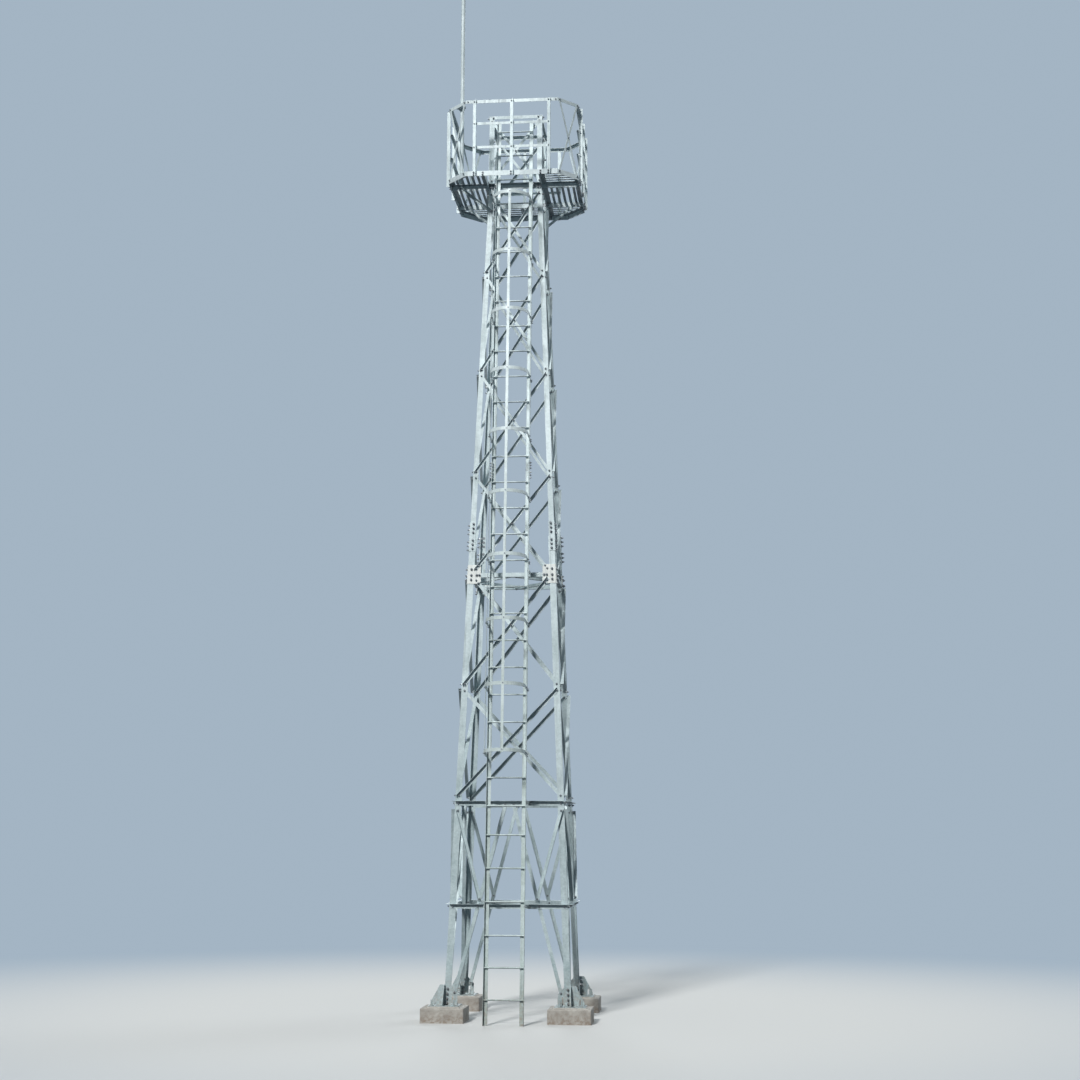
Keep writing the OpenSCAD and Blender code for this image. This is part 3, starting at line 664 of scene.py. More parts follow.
class Fitting:
    """The small parts of one sub-assembly, joined into one piece."""

    def __init__(self, name: str, slot: Slot) -> None:
        """Start with nothing."""
        self.name = name
        self.slot = slot
        self.maker = bmesh.new()

    def take(self, mesh: bpy.types.Mesh, sheet: Matrix) -> None:
        """Place a mesh, join it to the piece and remove it.

        Args:
            mesh: the mesh; it is removed.
            sheet: the frame that it is drawn in.
        """
        mesh.transform(sheet)
        self.maker.from_mesh(mesh)
        bpy.data.meshes.remove(mesh)

    def finish(self, material: Material) -> bpy.types.Object:
        """Make the joined piece, which rides on the tower.

        Args:
            material: its finish.

        Returns:
            The new object.
        """
        mesh = as_mesh(self.maker, self.name)
        mesh.materials.append(material)
        piece = put(self.name, mesh)
        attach(piece, "root")
        log.info("%s: %d faces", self.name, len(mesh.polygons))
        return piece

    def block(self, sheet: Matrix, low: Spot, high: Spot, cut: float = 0.001) -> None:
        """Add a block with broken edges.

        Args:
            sheet: the frame that the corners are given in.
            low: one corner.
            high: the opposite corner.
            cut: how far its edges are cut back.
        """
        part = cuboid(low, high)
        cut_edges(part, part.edges[:], cut)
        self.take(as_mesh(part, "block"), sheet)

    def section(self, sheet: Matrix, outline: Iterable[Pair], low: float, high: float,
                cut: float = 0.0008) -> None:
        """Add a straight length of a rolled section, drawn along Z with broken edges.

        Args:
            sheet: the frame that it is given in.
            outline: the corners of its section, in X and Y.
            low: where it starts in Z.
            high: where it ends in Z.
            cut: how far its edges are cut back.
        """
        part = bmesh.new()
        face = part.faces.new([part.verts.new((x, y, low)) for x, y in outline])
        self._grow(part, face, (0.0, 0.0, high - low))
        self._close(part, cut)
        self.take(as_mesh(part, "section"), sheet)

    def bent_flat(self, sheet: Matrix, half: float, back: float, bend: float, width: float,
                  thickness: float, steps: int = 24, share: float = 0.16) -> None:
        """Add a flat bar on edge, bent to a level U that opens towards +Y.

        Args:
            sheet: the frame with the U's middle line in its YZ plane and its middle height at Z 0.
            half: half the width inside it.
            back: the Y of its two ends.
            bend: the Y of the middle of its half circle.
            width: the bar's width, along Z.
            thickness: the bar's thickness.
            steps: the number of segments of the half circle.
            share: how far its edges are cut back, as a share of the thickness.
        """
        part = bmesh.new()
        corners = ((half, -1), (half + thickness, -1), (half + thickness, 1), (half, 1))
        face = part.faces.new([part.verts.new((-x, back, z * width / 2)) for x, z in corners])
        face = self._grow(part, face, (0.0, bend - back, 0.0))
        turned = bmesh.ops.spin(part, geom=[face, *face.edges, *face.verts], cent=(0.0, bend, 0.0),
                                axis=UPWARDS, angle=math.pi, steps=steps)
        last = next(item for item in turned["geom_last"] if isinstance(item, bmesh.types.BMFace))
        self._grow(part, last, (0.0, back - bend, 0.0))
        self._close(part, thickness * share)
        self.take(as_mesh(part, "flat"), sheet)

    @staticmethod
    def _grow(part: BMesh, face: bmesh.types.BMFace, run: Spot) -> bmesh.types.BMFace:
        """Extrude a face by a run and return the face at its new end.

        Args:
            part: the shape that the face belongs to.
            face: the face.
            run: how far it moves, and in which direction.

        Returns:
            The face at the new end.
        """
        made = bmesh.ops.extrude_face_region(part, geom=[face])["geom"]
        verts = [item for item in made if isinstance(item, bmesh.types.BMVert)]
        bmesh.ops.translate(part, vec=run, verts=verts)
        return next(item for item in made if isinstance(item, bmesh.types.BMFace))

    @staticmethod
    def _close(part: BMesh, cut: float, sharp: float = 0.5) -> None:
        """Drop the faces hidden inside a joint, turn the others outwards and break the sharp edges.

        Args:
            part: the shape.
            cut: how far its sharp edges are cut back.
            sharp: the angle, in radians, over which an edge is sharp.
        """
        bmesh.ops.remove_doubles(part, verts=part.verts[:], dist=FINE)
        hidden = [face for face in part.faces if all(len(edge.link_faces) > 2 for edge in face.edges)]
        bmesh.ops.delete(part, geom=hidden, context="FACES_ONLY")
        bmesh.ops.recalc_face_normals(part, faces=part.faces[:])
        cut_edges(part, (edge for edge in part.edges if edge.calc_face_angle(0.0) > sharp), cut)

    def rod(self, sheet: Matrix, start: Spot, end: Spot, radius: float, end_radius: float | None = None,
            sides: int = 6) -> None:
        """Add a straight rod, weld bead or cone.

        Args:
            sheet: the frame that the ends are given in.
            start: the middle of its first end.
            end: the middle of its other end.
            radius: its radius at the start.
            end_radius: its radius at the end, where that differs.
            sides: the number of its sides.
        """
        first, second = Vector(start), Vector(end)
        run = second - first
        part = bmesh.new()
        bmesh.ops.create_cone(part, cap_ends=True, segments=sides, radius1=radius,
                              radius2=radius if end_radius is None else end_radius, depth=run.length)
        self.take(as_mesh(part, "rod"), sheet @ Matrix.Translation((first + second) / 2) @ aimed(run))

    def hoop(self, sheet: Matrix, z: float, radius: float, wire: float, steps: int = 24) -> None:
        """Add a level ring of round section, such as the weld at a tube's foot.

        Args:
            sheet: the frame whose Z is the ring's axis.
            z: the ring's height in it.
            radius: the radius to the middle of its section.
            wire: the radius of its section.
            steps: the number of its segments.
        """
        part = bmesh.new()
        bmesh.ops.create_circle(part, segments=8, radius=wire, matrix=shift(x=radius) @ turn(90.0, "X"))
        bmesh.ops.spin(part, geom=part.edges[:] + part.verts[:], cent=(0.0, 0.0, 0.0), axis=UPWARDS,
                       angle=math.tau, steps=steps, use_merge=True)
        bmesh.ops.remove_doubles(part, verts=part.verts[:], dist=10 * FINE)
        bmesh.ops.recalc_face_normals(part, faces=part.faces[:])
        self.take(as_mesh(part, "hoop"), sheet @ shift(z=z))


class BoltSet(Fitting):
    """The bolts of one sub-assembly, joined into one piece."""

    def __init__(self, name: str, slot: Slot, seed: int) -> None:
        """Start with no bolts; the seed starts the draws that turn each of them."""
        super().__init__(name, slot)
        self.patterns: dict[tuple[Fastener, float], bpy.types.Mesh] = {}
        self.dice = random.Random(seed)

    def add(self, sheet: Matrix, spot: Spot, grip: float, bolt: Fastener = PLAIN,
            way: Spot = OUTWARDS) -> None:
        """Add a bolt.

        Args:
            sheet: the frame that the spot is given in.
            spot: the point on the surface under the nut's washer.
            grip: the thickness that it holds, in metres.
            bolt: its size.
            way: the direction that the nut points in, in that frame.
        """
        key = (bolt, round(grip, 4))
        if key not in self.patterns:
            self.patterns[key] = bolt.mesh(grip)
        spin = Matrix.Rotation(self.dice.uniform(0.0, math.pi / 3), 4, "Z")
        self.take(self.patterns[key].copy(), sheet @ Matrix.Translation(spot) @ aimed(way) @ spin)

    def finish(self, material: Material) -> bpy.types.Object:
        """Remove the patterns and make the joined piece with the given finish."""
        for mesh in self.patterns.values():
            bpy.data.meshes.remove(mesh)
        return super().finish(material)


@dataclass(frozen=True)
class Bay:
    """One crossed bay: its ends' heights and distances in from the heels, and what is bolted together."""

    low: float
    high: float
    low_in: float
    high_in: float
    bar_t: float
    leg_t: float
    out: float = 0.0
    low_plated: bool = False
    high_plated: bool = False


@dataclass
class BracingBolts:
    """Bolts through the bracing, its gussets and the legs on the four faces, numbered anticlockwise."""

    lattice: Lattice
    low_gauge: float = 0.045
    high_gauge: float = 0.040
    node_gap: float = 0.046
    ring_gap: float = 0.110
    head_gap: float = 0.078
    under_splice: Pair = (0.072, 0.125)
    over_splice: Pair = (0.090, 0.118)
    low_bar_t: float = 0.005
    high_bar_t: float = 0.004
    plate_steps: Pair = (0.004, 0.056)
    gusset_column: tuple[float, float, float] = (0.088, 0.0, -0.065)
    gusset_row: Pair = (0.130, 0.168)
    gusset_gauge: float = 0.052
    foot_z: float = 0.385
    foot_in: float = 0.135
    foot_gusset_t: float = 0.008
    apex: float = 0.058
    apex_drop: float = 0.015
    strut_drop: float = 0.100
    knot_rise: float = 0.100

    def bays(self) -> Iterator[Bay]:
        """Give each crossed bay from the upper ring of the bottom bay to the walkway."""
        body = self.lattice
        gap, low, high = self.node_gap, self.low_gauge, self.high_gauge
        below, below_in = self.under_splice
        above, above_in = self.over_splice
        first, second, third = body.upper_nodes
        yield Bay(body.ring_high + self.ring_gap, body.mid_node - gap, low, low, self.low_bar_t, body.leg_t)
        yield Bay(body.mid_node + gap, body.splice_ring - below, low, below_in, self.low_bar_t, body.leg_t,
                  out=body.gusset_t, high_plated=True)
        yield Bay(body.splice_ring + above, first - gap, above_in, high, self.high_bar_t, body.leg_t,
                  out=body.gusset_t, low_plated=True)
        spans = ((first, second, gap), (second, third, gap), (third, body.leg_top, self.head_gap))
        for start, end, end_gap in spans:
            yield Bay(start + gap, end - end_gap, high, high, self.high_bar_t, body.upper_leg_t)

    def crossed(self, bolts: BoltSet, side: int) -> None:
        """Bolt the crossed bars of one face.

        Args:
            bolts: the set that takes the bolts.
            side: the face, 0 for the front and then anticlockwise from above.
        """
        body, sheet = self.lattice, self.lattice.on_face(side)
        for bay in self.bays():
            low = body.by_leg(1, bay.low, bay.low_in, 0.0)
            high = body.by_leg(1, bay.high, bay.high_in, 0.0)
            for way in (1, -1):
                start = Vector((-way * low.x, 0.0, low.z))
                end = Vector((way * high.x, 0.0, high.z))
                run = (end - start).normalized()
                for point, ahead, plated in ((start, run, bay.low_plated), (end, -run, bay.high_plated)):
                    outer = -bay.out - bay.bar_t if way == 1 else -body.gusset_t if plated else 0.0
                    inner = (0.0 if plated else bay.leg_t) if way == 1 else bay.leg_t + bay.bar_t
                    for step in self.plate_steps if plated else (0.0,):
                        spot = point + step * ahead
                        bolts.add(sheet, (spot.x, outer, spot.z), inner - outer)
            outer = -bay.out - bay.bar_t
            cross_up = low.z + (high.z - low.z) * low.x / (low.x + high.x)
            bolts.add(sheet, (0.0, outer, cross_up), bay.leg_t + bay.bar_t - outer)

    def rings(self, bolts: BoltSet, side: int) -> None:
        """Bolt the rings' ends and the splice ring's gussets on one face.

        Args:
            bolts: the set that takes the bolts.
            side: the face, 0 for the front and then anticlockwise from above.
        """
        body, sheet = self.lattice, self.lattice.on_face(side)
        up = body.up_face(body.splice_ring)
        for end in ENDS:
            for z in (body.ring_low, body.ring_high):
                bolts.add(sheet, body.by_leg(end, z, self.low_gauge, body.ring_t), body.ring_t + body.leg_t)
            for rise in self.gusset_column:
                x = body.half_at(body.splice_ring + rise) - self.gusset_gauge
                bolts.add(sheet, (end * x, -body.gusset_t, up + rise), body.gusset_t + body.leg_t, HEAVY)
            for inset in self.gusset_row:
                spot = body.by_leg(end, body.splice_ring, inset, body.gusset_t)
                bolts.add(sheet, spot, body.gusset_t + body.ring_t, HEAVY)

    def base_bay(self, bolts: BoltSet, side: int) -> None:
        """Bolt the inverted V and its struts on one face.

        Args:
            bolts: the set that takes the bolts.
            side: the face, 0 for the front and then anticlockwise from above.
        """
        body, sheet = self.lattice, self.lattice.on_face(side)
        foot = body.by_leg(1, self.foot_z, self.foot_in, 0.0)
        apex = Vector((self.apex, 0.0, body.up_face(body.ring_high) - self.apex_drop))
        strut = body.by_leg(1, body.ring_high - self.strut_drop, self.low_gauge, 0.0)
        lean = (apex.x - foot.x) / (apex.z - foot.z)
        ring_up = body.up_face(body.ring_low)
        crossing = foot.x + lean * (ring_up - foot.z)
        inner = body.leg_t + self.low_bar_t
        for end in ENDS:
            for x, out, up, back in (
                (foot.x, self.foot_gusset_t, foot.z, inner),
                (crossing, body.ring_t, ring_up, inner),
                (crossing + lean * self.knot_rise, self.low_bar_t, ring_up + self.knot_rise, inner),
                (apex.x, body.ring_t, apex.z, inner),
                (strut.x, self.low_bar_t, strut.z, body.leg_t),
            ):
                bolts.add(sheet, (end * x, -out, up), out + back)

    def build(self, material: Material) -> None:
        """Make one piece of bolts for each face."""
        for side, word in enumerate(("front", "right", "back", "left")):
            bolts = BoltSet(f"face_bolts_{word}", Slot.GALVANISED, 11 + side)
            self.crossed(bolts, side)
            self.rings(bolts, side)
            self.base_bay(bolts, side)
            bolts.finish(material)


@dataclass
class SplicePlates:
    """The bright gusset plates where the splice ring meets the legs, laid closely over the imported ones."""

    lattice: Lattice
    wide: float = 0.190
    down: float = 0.125
    rise: float = 0.150
    cut: float = 0.030
    heel_in: float = 0.004
    proud: float = 0.0008

    def build(self, zinc: Material) -> None:
        """Make one piece of the eight plates."""
        body, over = self.lattice, self.proud
        plates = Fitting("splice_gussets", Slot.GALVANISED)
        half, up = body.half_at(body.splice_ring), body.up_face(body.splice_ring)
        heel, inner = half - self.heel_in + over, half - self.wide - over
        low, high = up - self.down - over, up + self.rise + over
        outline = ((heel + self.down * body.slope, low), (inner + self.cut, low),
                   (inner, low + self.cut), (inner, high - self.cut),
                   (inner + self.cut, high), (heel - self.rise * body.slope, high))
        for side in range(4):
            outwards = body.on_face(side) @ turn(90.0, "X")
            for end in ENDS:
                plates.section(outwards, [(end * x, z) for x, z in outline], -over, body.gusset_t + over)
        plates.finish(zinc)


@dataclass
class LegCovers:
    """Bolts of the cover angles where the lower and the upper legs meet."""

    lattice: Lattice
    cover_t: float = 0.007
    gauge: float = 0.045
    heights: tuple[float, ...] = (-0.172, -0.111, -0.050, 0.065, 0.128, 0.192)
    stagger: float = 0.018

    def build(self, material: Material) -> None:
        """Bolt both flanges of each cover, the side ones a little lower."""
        body = self.lattice
        bolts = BoltSet("cover_bolts", Slot.GALVANISED, 31)
        for side in range(4):
            for end in ENDS:
                for rise in self.heights:
                    z = body.leg_joint + rise - self.stagger * (side % 2)
                    leg_t = body.upper_leg_t if rise > 0.0 else body.leg_t
                    spot = body.by_leg(end, z, self.gauge, self.cover_t)
                    bolts.add(body.on_face(side), spot, self.cover_t + leg_t, HEAVY)
        bolts.finish(material)


@dataclass
class Feet:
    """Cast piers with mortar beds, and the anchors, bolts and welds on the base plates."""

    lattice: Lattice
    pier_w: float = 0.6
    pier_cut: float = 0.016
    pier_cuts: int = 5
    pier_wander: float = 0.005
    wander_scale: float = 7.0
    wander_step: float = 5.0
    plate_w: float = 0.42
    plate_t: float = 0.020
    gusset_t: float = 0.008
    mortar_out: float = 0.026
    mortar_h: float = 0.012
    anchor_off: float = 0.150
    bolt_heights: tuple[float, ...] = (0.245, 0.300, 0.367, 0.434)
    bolt_gauge: float = 0.040
    bead: float = 0.006
    bead_runs: tuple[Pair, ...] = ((-0.185, -0.133), (-0.107, 0.107), (0.133, 0.180))
    leg_bead: float = 0.088

    def piers(self, material: Material) -> None:
        """Cast four blocks with worn rims and slightly uneven faces, which stand for the plain ones.

        Args:
            material: the piers' finish.
        """
        body, half, root = self.lattice, self.pier_w / 2, math.sqrt(2.0)
        middle = body.pier_reach - half
        blocks = Fitting("cast_piers", Slot.CONCRETE)
        for quarter in range(4):
            part = cuboid((-middle - half, -middle - half, 0.0), (half - middle, half - middle, body.base))
            rims = [edge for edge in part.edges if max(end.co.z for end in edge.verts) > body.base / 2]
            cut_edges(part, rims, self.pier_cut, 2)
            bmesh.ops.subdivide_edges(part, edges=part.edges[:], cuts=self.pier_cuts, use_grid_fill=True)
            part.normal_update()
            for vert in part.verts:
                if vert.co.z > FINE:
                    spot = vert.co * self.wander_scale + Vector((0.0, 0.0, self.wander_step * quarter))
                    vert.co -= vert.normal * self.pier_wander * (1.0 + noise.noise(spot)) / 2
            blocks.take(as_mesh(part, "pier"), body.turned(quarter))
            blocks.rod(body.turned(quarter) @ turn(45.0, "Z"),
                       (-middle * root, 0.0, body.base - self.pier_wander),
                       (-middle * root, 0.0, body.base + self.mortar_h),
                       (self.plate_w / 2 + self.mortar_out) * root,
                       (self.plate_w / 2 + self.mortar_out / 4) * root, 4)
        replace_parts(blocks.finish(material), "piers")

    def fixings(self, bolts: BoltSet, anchors: BoltSet, welds: Fitting) -> None:
        """Bolt the legs to the upright gussets, anchor the plates and weld the gussets down.

        Args:
            bolts: the set that takes the leg bolts.
            anchors: the set that takes the anchor rods.
            welds: the piece that takes the weld beads.
        """
        body = self.lattice
        beads = [(near, far, depth) for near, far in self.bead_runs for depth in (-self.gusset_t, 0.0)]
        beads.append((0.0, -self.leg_bead, body.leg_t))
        for side in range(4):
            sheet = body.on_face(side)
            for end in ENDS:
                for z in self.bolt_heights:
                    spot = body.by_leg(end, z, self.bolt_gauge, self.gusset_t)
                    bolts.add(sheet, spot, self.gusset_t + body.leg_t, HEAVY)
                for near, far, depth in beads:
                    welds.rod(sheet, (end * (body.foot_half + near), depth, self.plate_t),
                              (end * (body.foot_half + far), depth, self.plate_t), self.bead)
            corner = body.turned(side) @ shift(-body.foot_half, -body.foot_half, body.base + self.plate_t)
            for x, y in CORNERS:
                anchors.add(corner, (x * self.anchor_off, y * self.anchor_off, 0.0), 0.0, ANCHOR, UPWARDS)

    def build(self, bolt_metal: Material, zinc: Material, stone: Material) -> None:
        """Make the piers and everything that is fixed to the base plates."""
        self.piers(stone)
        bolts = BoltSet("foot_bolts", Slot.GALVANISED, 41)
        anchors = BoltSet("anchor_rods", Slot.GALVANISED, 43)
        welds = Fitting("foot_welds", Slot.GALVANISED)
        self.fixings(bolts, anchors, welds)
        bolts.finish(bolt_metal)
        anchors.finish(zinc)
        welds.finish(zinc)


@dataclass
class Crown:
    """Bolts of the splice ring's diamond, the crown above the walkway and the beams that carry it."""

    lattice: Lattice
    diamond_t: float = 0.005
    diamond_in: float = 0.034
    diamond_x: Pair = (-0.062, 0.062)
    gauge: float = 0.040
    flat_low: float = 0.060
    flat_drop: float = 0.085
    flat_t: float = 0.005
    bar_t: float = 0.004
    top_a: float = 0.050
    front_end: float = 0.342
    side_end: float = 0.364
    beam_bolts: tuple[Pair, ...] = ((0.020, 0.022), (0.055, 0.022), (0.020, 0.054), (0.055, 0.054))

    def build(self, material: Material) -> None:
        """Make the crown's bolts and the diamond's."""
        body, half, post_t = self.lattice, self.lattice.top_half, self.lattice.upper_leg_t
        bolts = BoltSet("crown_bolts", Slot.GALVANISED, 51)
        x = half - self.gauge
        low, high = body.floor + self.flat_low, body.crown_top - self.flat_drop
        diamond_y = self.diamond_in - body.half_at(body.splice_ring)
        diamond_top = body.splice_ring - body.ring_a / 2 + body.ring_t + self.diamond_t
        for side in range(4):
            sheet = body.turned(side)
            for along in self.diamond_x:
                bolts.add(sheet, (along, diamond_y, diamond_top), self.diamond_t + body.ring_t,
                          way=UPWARDS)
            for spot_x, spot_z in ((-x, low), (x, high)):
                bolts.add(sheet, (spot_x, -half - self.flat_t, spot_z), self.flat_t + post_t)
            for spot_x, spot_z in ((x, low), (-x, high)):
                bolts.add(sheet, (spot_x, -half, spot_z), post_t + self.bar_t)
            bolts.add(sheet, (0.0, -half - self.flat_t, (low + high) / 2),
                      self.flat_t + post_t + self.bar_t)
            reach = self.side_end if side % 2 else self.front_end
            for end in ENDS:
                spot = (end * reach, -half - self.flat_t, body.crown_top - self.top_a / 2)
                bolts.add(sheet, spot, self.flat_t + post_t)
                for inset, rise in self.beam_bolts:
                    spot = (end * (half - inset), -half - body.beam_t, body.leg_top + rise)
                    bolts.add(sheet, spot, body.beam_t + post_t)
        bolts.finish(material)


@dataclass
class Ladder:
    """The leaning ladder, which stands for the plain one, with its struts, welds and bolts."""

    lattice: Lattice
    foot_y: float = 1.435
    top_y: float = 0.475
    height: float = 13.2
    foot_gap: float = 0.0045
    half_w: float = 0.275
    stile_t: float = 0.005
    stile_a: float = 0.060
    plate_t: float = 0.006
    rung_y: float = 0.030
    rung_r: float = 0.011
    rung_runs: tuple[tuple[float, float, int], ...] = (
        (0.335, 0.420, 3), (1.620, 0.447, 3), (2.909, 0.384, 14), (8.336, 0.390, 13))
    weld: float = 0.006
    weld_lip: float = 0.0005
    joint: float = 7.69
    joint_gap: float = 0.001
    joint_half: float = 0.135
    joint_from: float = 0.008
    joint_to: float = 0.053
    joint_bolts: tuple[float, ...] = (-0.112, -0.072, -0.032, 0.032, 0.072, 0.112)
    strut_half: float = 0.022
    strut_back: float = 0.010
    strut_drop: float = 0.002
    strut_end: float = 0.002
    strut_bolts: Pair = (0.012, 0.034)
    splice_gap: float = 0.0005
    beam_rise: float = 0.030
    cleat_a: float = 0.045
    cleat_t: float = 0.005
    cleat_gauge: float = 0.027

    def __post_init__(self) -> None:
        """Work out the ladder's lean, its frame and the inside of its stiles."""
        self.lean = math.atan((self.foot_y - self.top_y) / self.height)
        self.sheet = self.lattice.turned(0) @ shift(y=-self.foot_y) @ turn(-math.degrees(self.lean), "X")
        self.inner = self.half_w - self.stile_t

    def up(self, z: float) -> float:
        """Distance up the ladder's slope to a height."""
        return z / math.cos(self.lean)

    def lengths(self, zinc: Material) -> None:
        """Make the two lengths: angle stiles with their flanges at the rear, round rungs and welds.

        Args:
            zinc: the ladder's finish.
        """
        joint, tip = self.up(self.joint), self.half_w - self.stile_a
        rear, face = self.stile_a, self.stile_a - self.stile_t
        outline = ((self.half_w, 0.0), (self.half_w, rear), (tip, rear), (tip, face), (self.inner, face),
                   (self.inner, 0.0))
        rungs = [self.up(first + k * step) for first, step, count in self.rung_runs for k in range(count)]
        for word, low, high in (("lower", self.foot_gap, joint - self.joint_gap),
                                ("upper", joint + self.joint_gap, self.up(self.height))):
            metal = Fitting(f"ladder_length_{word}", Slot.LADDER)
            for end in ENDS:
                metal.section(self.sheet, [(end * x, y) for x, y in outline], low, high)
            for up in rungs:
                if low < up < high:
                    spot = (self.rung_y, up)
                    metal.rod(self.sheet, (-self.inner, *spot), (self.inner, *spot), self.rung_r, sides=16)
                    for end in ENDS:
                        metal.rod(self.sheet, (end * self.inner, *spot),
                                  (end * (self.inner - self.weld), *spot),
                                  self.rung_r + self.weld, self.rung_r + self.weld_lip, 10)
            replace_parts(metal.finish(zinc), f"ladder_{word}")

    def reach(self, z: float, face_y: float) -> float:
        """How far the struts at a height stand out from a face that lies face_y from the axis."""
        return self.foot_y - z * math.tan(self.lean) - face_y - self.strut_back

    def rows(self) -> Iterator[tuple[Matrix, float, float, float]]:
        """Give each row of struts: its frame, how far its seat stands out, its height and its reach."""
        body = self.lattice
        for z, depth in ((body.ring_low, body.ring_t), (body.ring_high, body.ring_t),
                         (body.splice_ring, self.splice_gap)):
            yield body.on_face(0), depth, body.up_face(z) - self.strut_drop, self.reach(z, body.half_at(z))
        beam_y, z = body.top_half + body.beam_t, body.leg_top + self.beam_rise
        yield body.turned(0) @ shift(y=-beam_y), 0.0, z, self.reach(z, beam_y)

    def struts(self, bolts: BoltSet, metal: Fitting) -> None:
        """Bolt flat struts to the stiles, and to the rings and the front beam through small angle cleats.

        Args:
            bolts: the set that takes the bolts.
            metal: the piece that takes the struts and the cleats.
        """
        side_x, ring_t = self.half_w + self.plate_t, self.lattice.ring_t
        for sheet, depth, up, reach in self.rows():
            for end in ENDS:
                aside = (end, 0.0, 0.0)
                for start, back, stop, front in (
                    (self.half_w, -reach, side_x, -depth - self.cleat_t - self.strut_end),
                    (side_x, -depth - self.cleat_a, side_x + self.cleat_t, -depth),
                    (side_x, -depth - self.cleat_t, side_x + self.cleat_a, -depth),
                ):
                    metal.block(sheet, (end * start, back, up - self.strut_half),
                                (end * stop, front, up + self.strut_half))
                bolts.add(sheet, (end * (side_x + self.cleat_gauge), -depth - self.cleat_t, up),
                          self.cleat_t + ring_t, LIGHT)
                bolts.add(sheet, (end * (side_x + self.cleat_t), -depth - self.cleat_gauge, up),
                          self.cleat_t + self.plate_t, LIGHT, aside)
                for inset in self.strut_bolts:
                    bolts.add(sheet, (end * side_x, inset - reach, up), self.stile_t + self.plate_t, SMALL,
                              aside)

    def joints(self, bolts: BoltSet, metal: Fitting) -> None:
        """Put a bolted plate inside each stile over the joint between the two lengths.

        Args:
            bolts: the set that takes the bolts.
            metal: the piece that takes the plates.
        """
        up = self.up(self.joint)
        for end in ENDS:
            metal.block(self.sheet, (end * self.inner, self.joint_from, up - self.joint_half),
                        (end * (self.inner - self.plate_t), self.joint_to, up + self.joint_half))
            for rise in self.joint_bolts:
                bolts.add(self.sheet, (end * self.half_w, self.rung_y, up + rise),
                          self.stile_t + self.plate_t, PLAIN, (end, 0.0, 0.0))

    def build(self, bolt_metal: Material, zinc: Material) -> None:
        """Make the ladder's lengths, struts and bolts."""
        self.lengths(zinc)
        metal = Fitting("ladder_struts", Slot.LADDER)
        bolts = BoltSet("ladder_bolts", Slot.LADDER, 61)
        self.struts(bolts, metal)
        self.joints(bolts, metal)
        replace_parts(metal.finish(zinc), "ladder_brackets")
        bolts.finish(bolt_metal)


@dataclass
class Cage:
    """The ladder's cage, which stands for the plain one: bent hoops, flat bars and their bolts."""

    ladder: Ladder
    first_hoop: float = 3.605
    step: float = 0.906
    hoops: int = 10
    width: float = 0.050
    thickness: float = 0.005
    end_y: float = 0.048
    depth: float = 0.590
    bar_half: float = 0.020
    bar_over: float = 0.035
    side_bar_y: float = 0.190
    bolt_rise: float = 0.013

    def build(self, bolt_metal: Material, zinc: Material) -> None:
        """Bend the hoops, run the flat bars down them and bolt them together."""
        ladder, sheet, thick = self.ladder, self.ladder.sheet, self.thickness
        straps = Fitting("cage_straps", Slot.LADDER)
        flats = Fitting("cage_flats", Slot.LADDER)
        bolts = BoltSet("cage_bolts", Slot.LADDER, 67)
        outer = ladder.half_w + thick
        ups = [ladder.up(self.first_hoop + k * self.step) for k in range(self.hoops)]
        for up in ups:
            straps.bent_flat(sheet @ shift(z=up), ladder.half_w, self.end_y, outer - self.depth,
                             self.width, thick)
            bolts.add(sheet, (0.0, thick - self.depth, up), 2 * thick, LIGHT, INWARDS)
            for end in ENDS:
                aside = (end, 0.0, 0.0)
                bolts.add(sheet, (end * (outer + thick), -self.side_bar_y, up), 2 * thick, LIGHT, aside)
                for rise in (-self.bolt_rise, self.bolt_rise):
                    bolts.add(sheet, (end * outer, ladder.rung_y, up + rise), thick + ladder.stile_t, LIGHT,
                              aside)
        low, high = ups[0] - self.bar_over, ups[-1] + self.bar_over
        flats.block(sheet, (-self.bar_half, -self.depth - thick, low), (self.bar_half, -self.depth, high))
        for end in ENDS:
            flats.block(sheet, (end * outer, -self.side_bar_y - self.bar_half, low),
                        (end * (outer + thick), -self.side_bar_y + self.bar_half, high))
        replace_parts(straps.finish(zinc), "cage_hoops")
        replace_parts(flats.finish(zinc), "cage_bars")
        bolts.finish(bolt_metal)


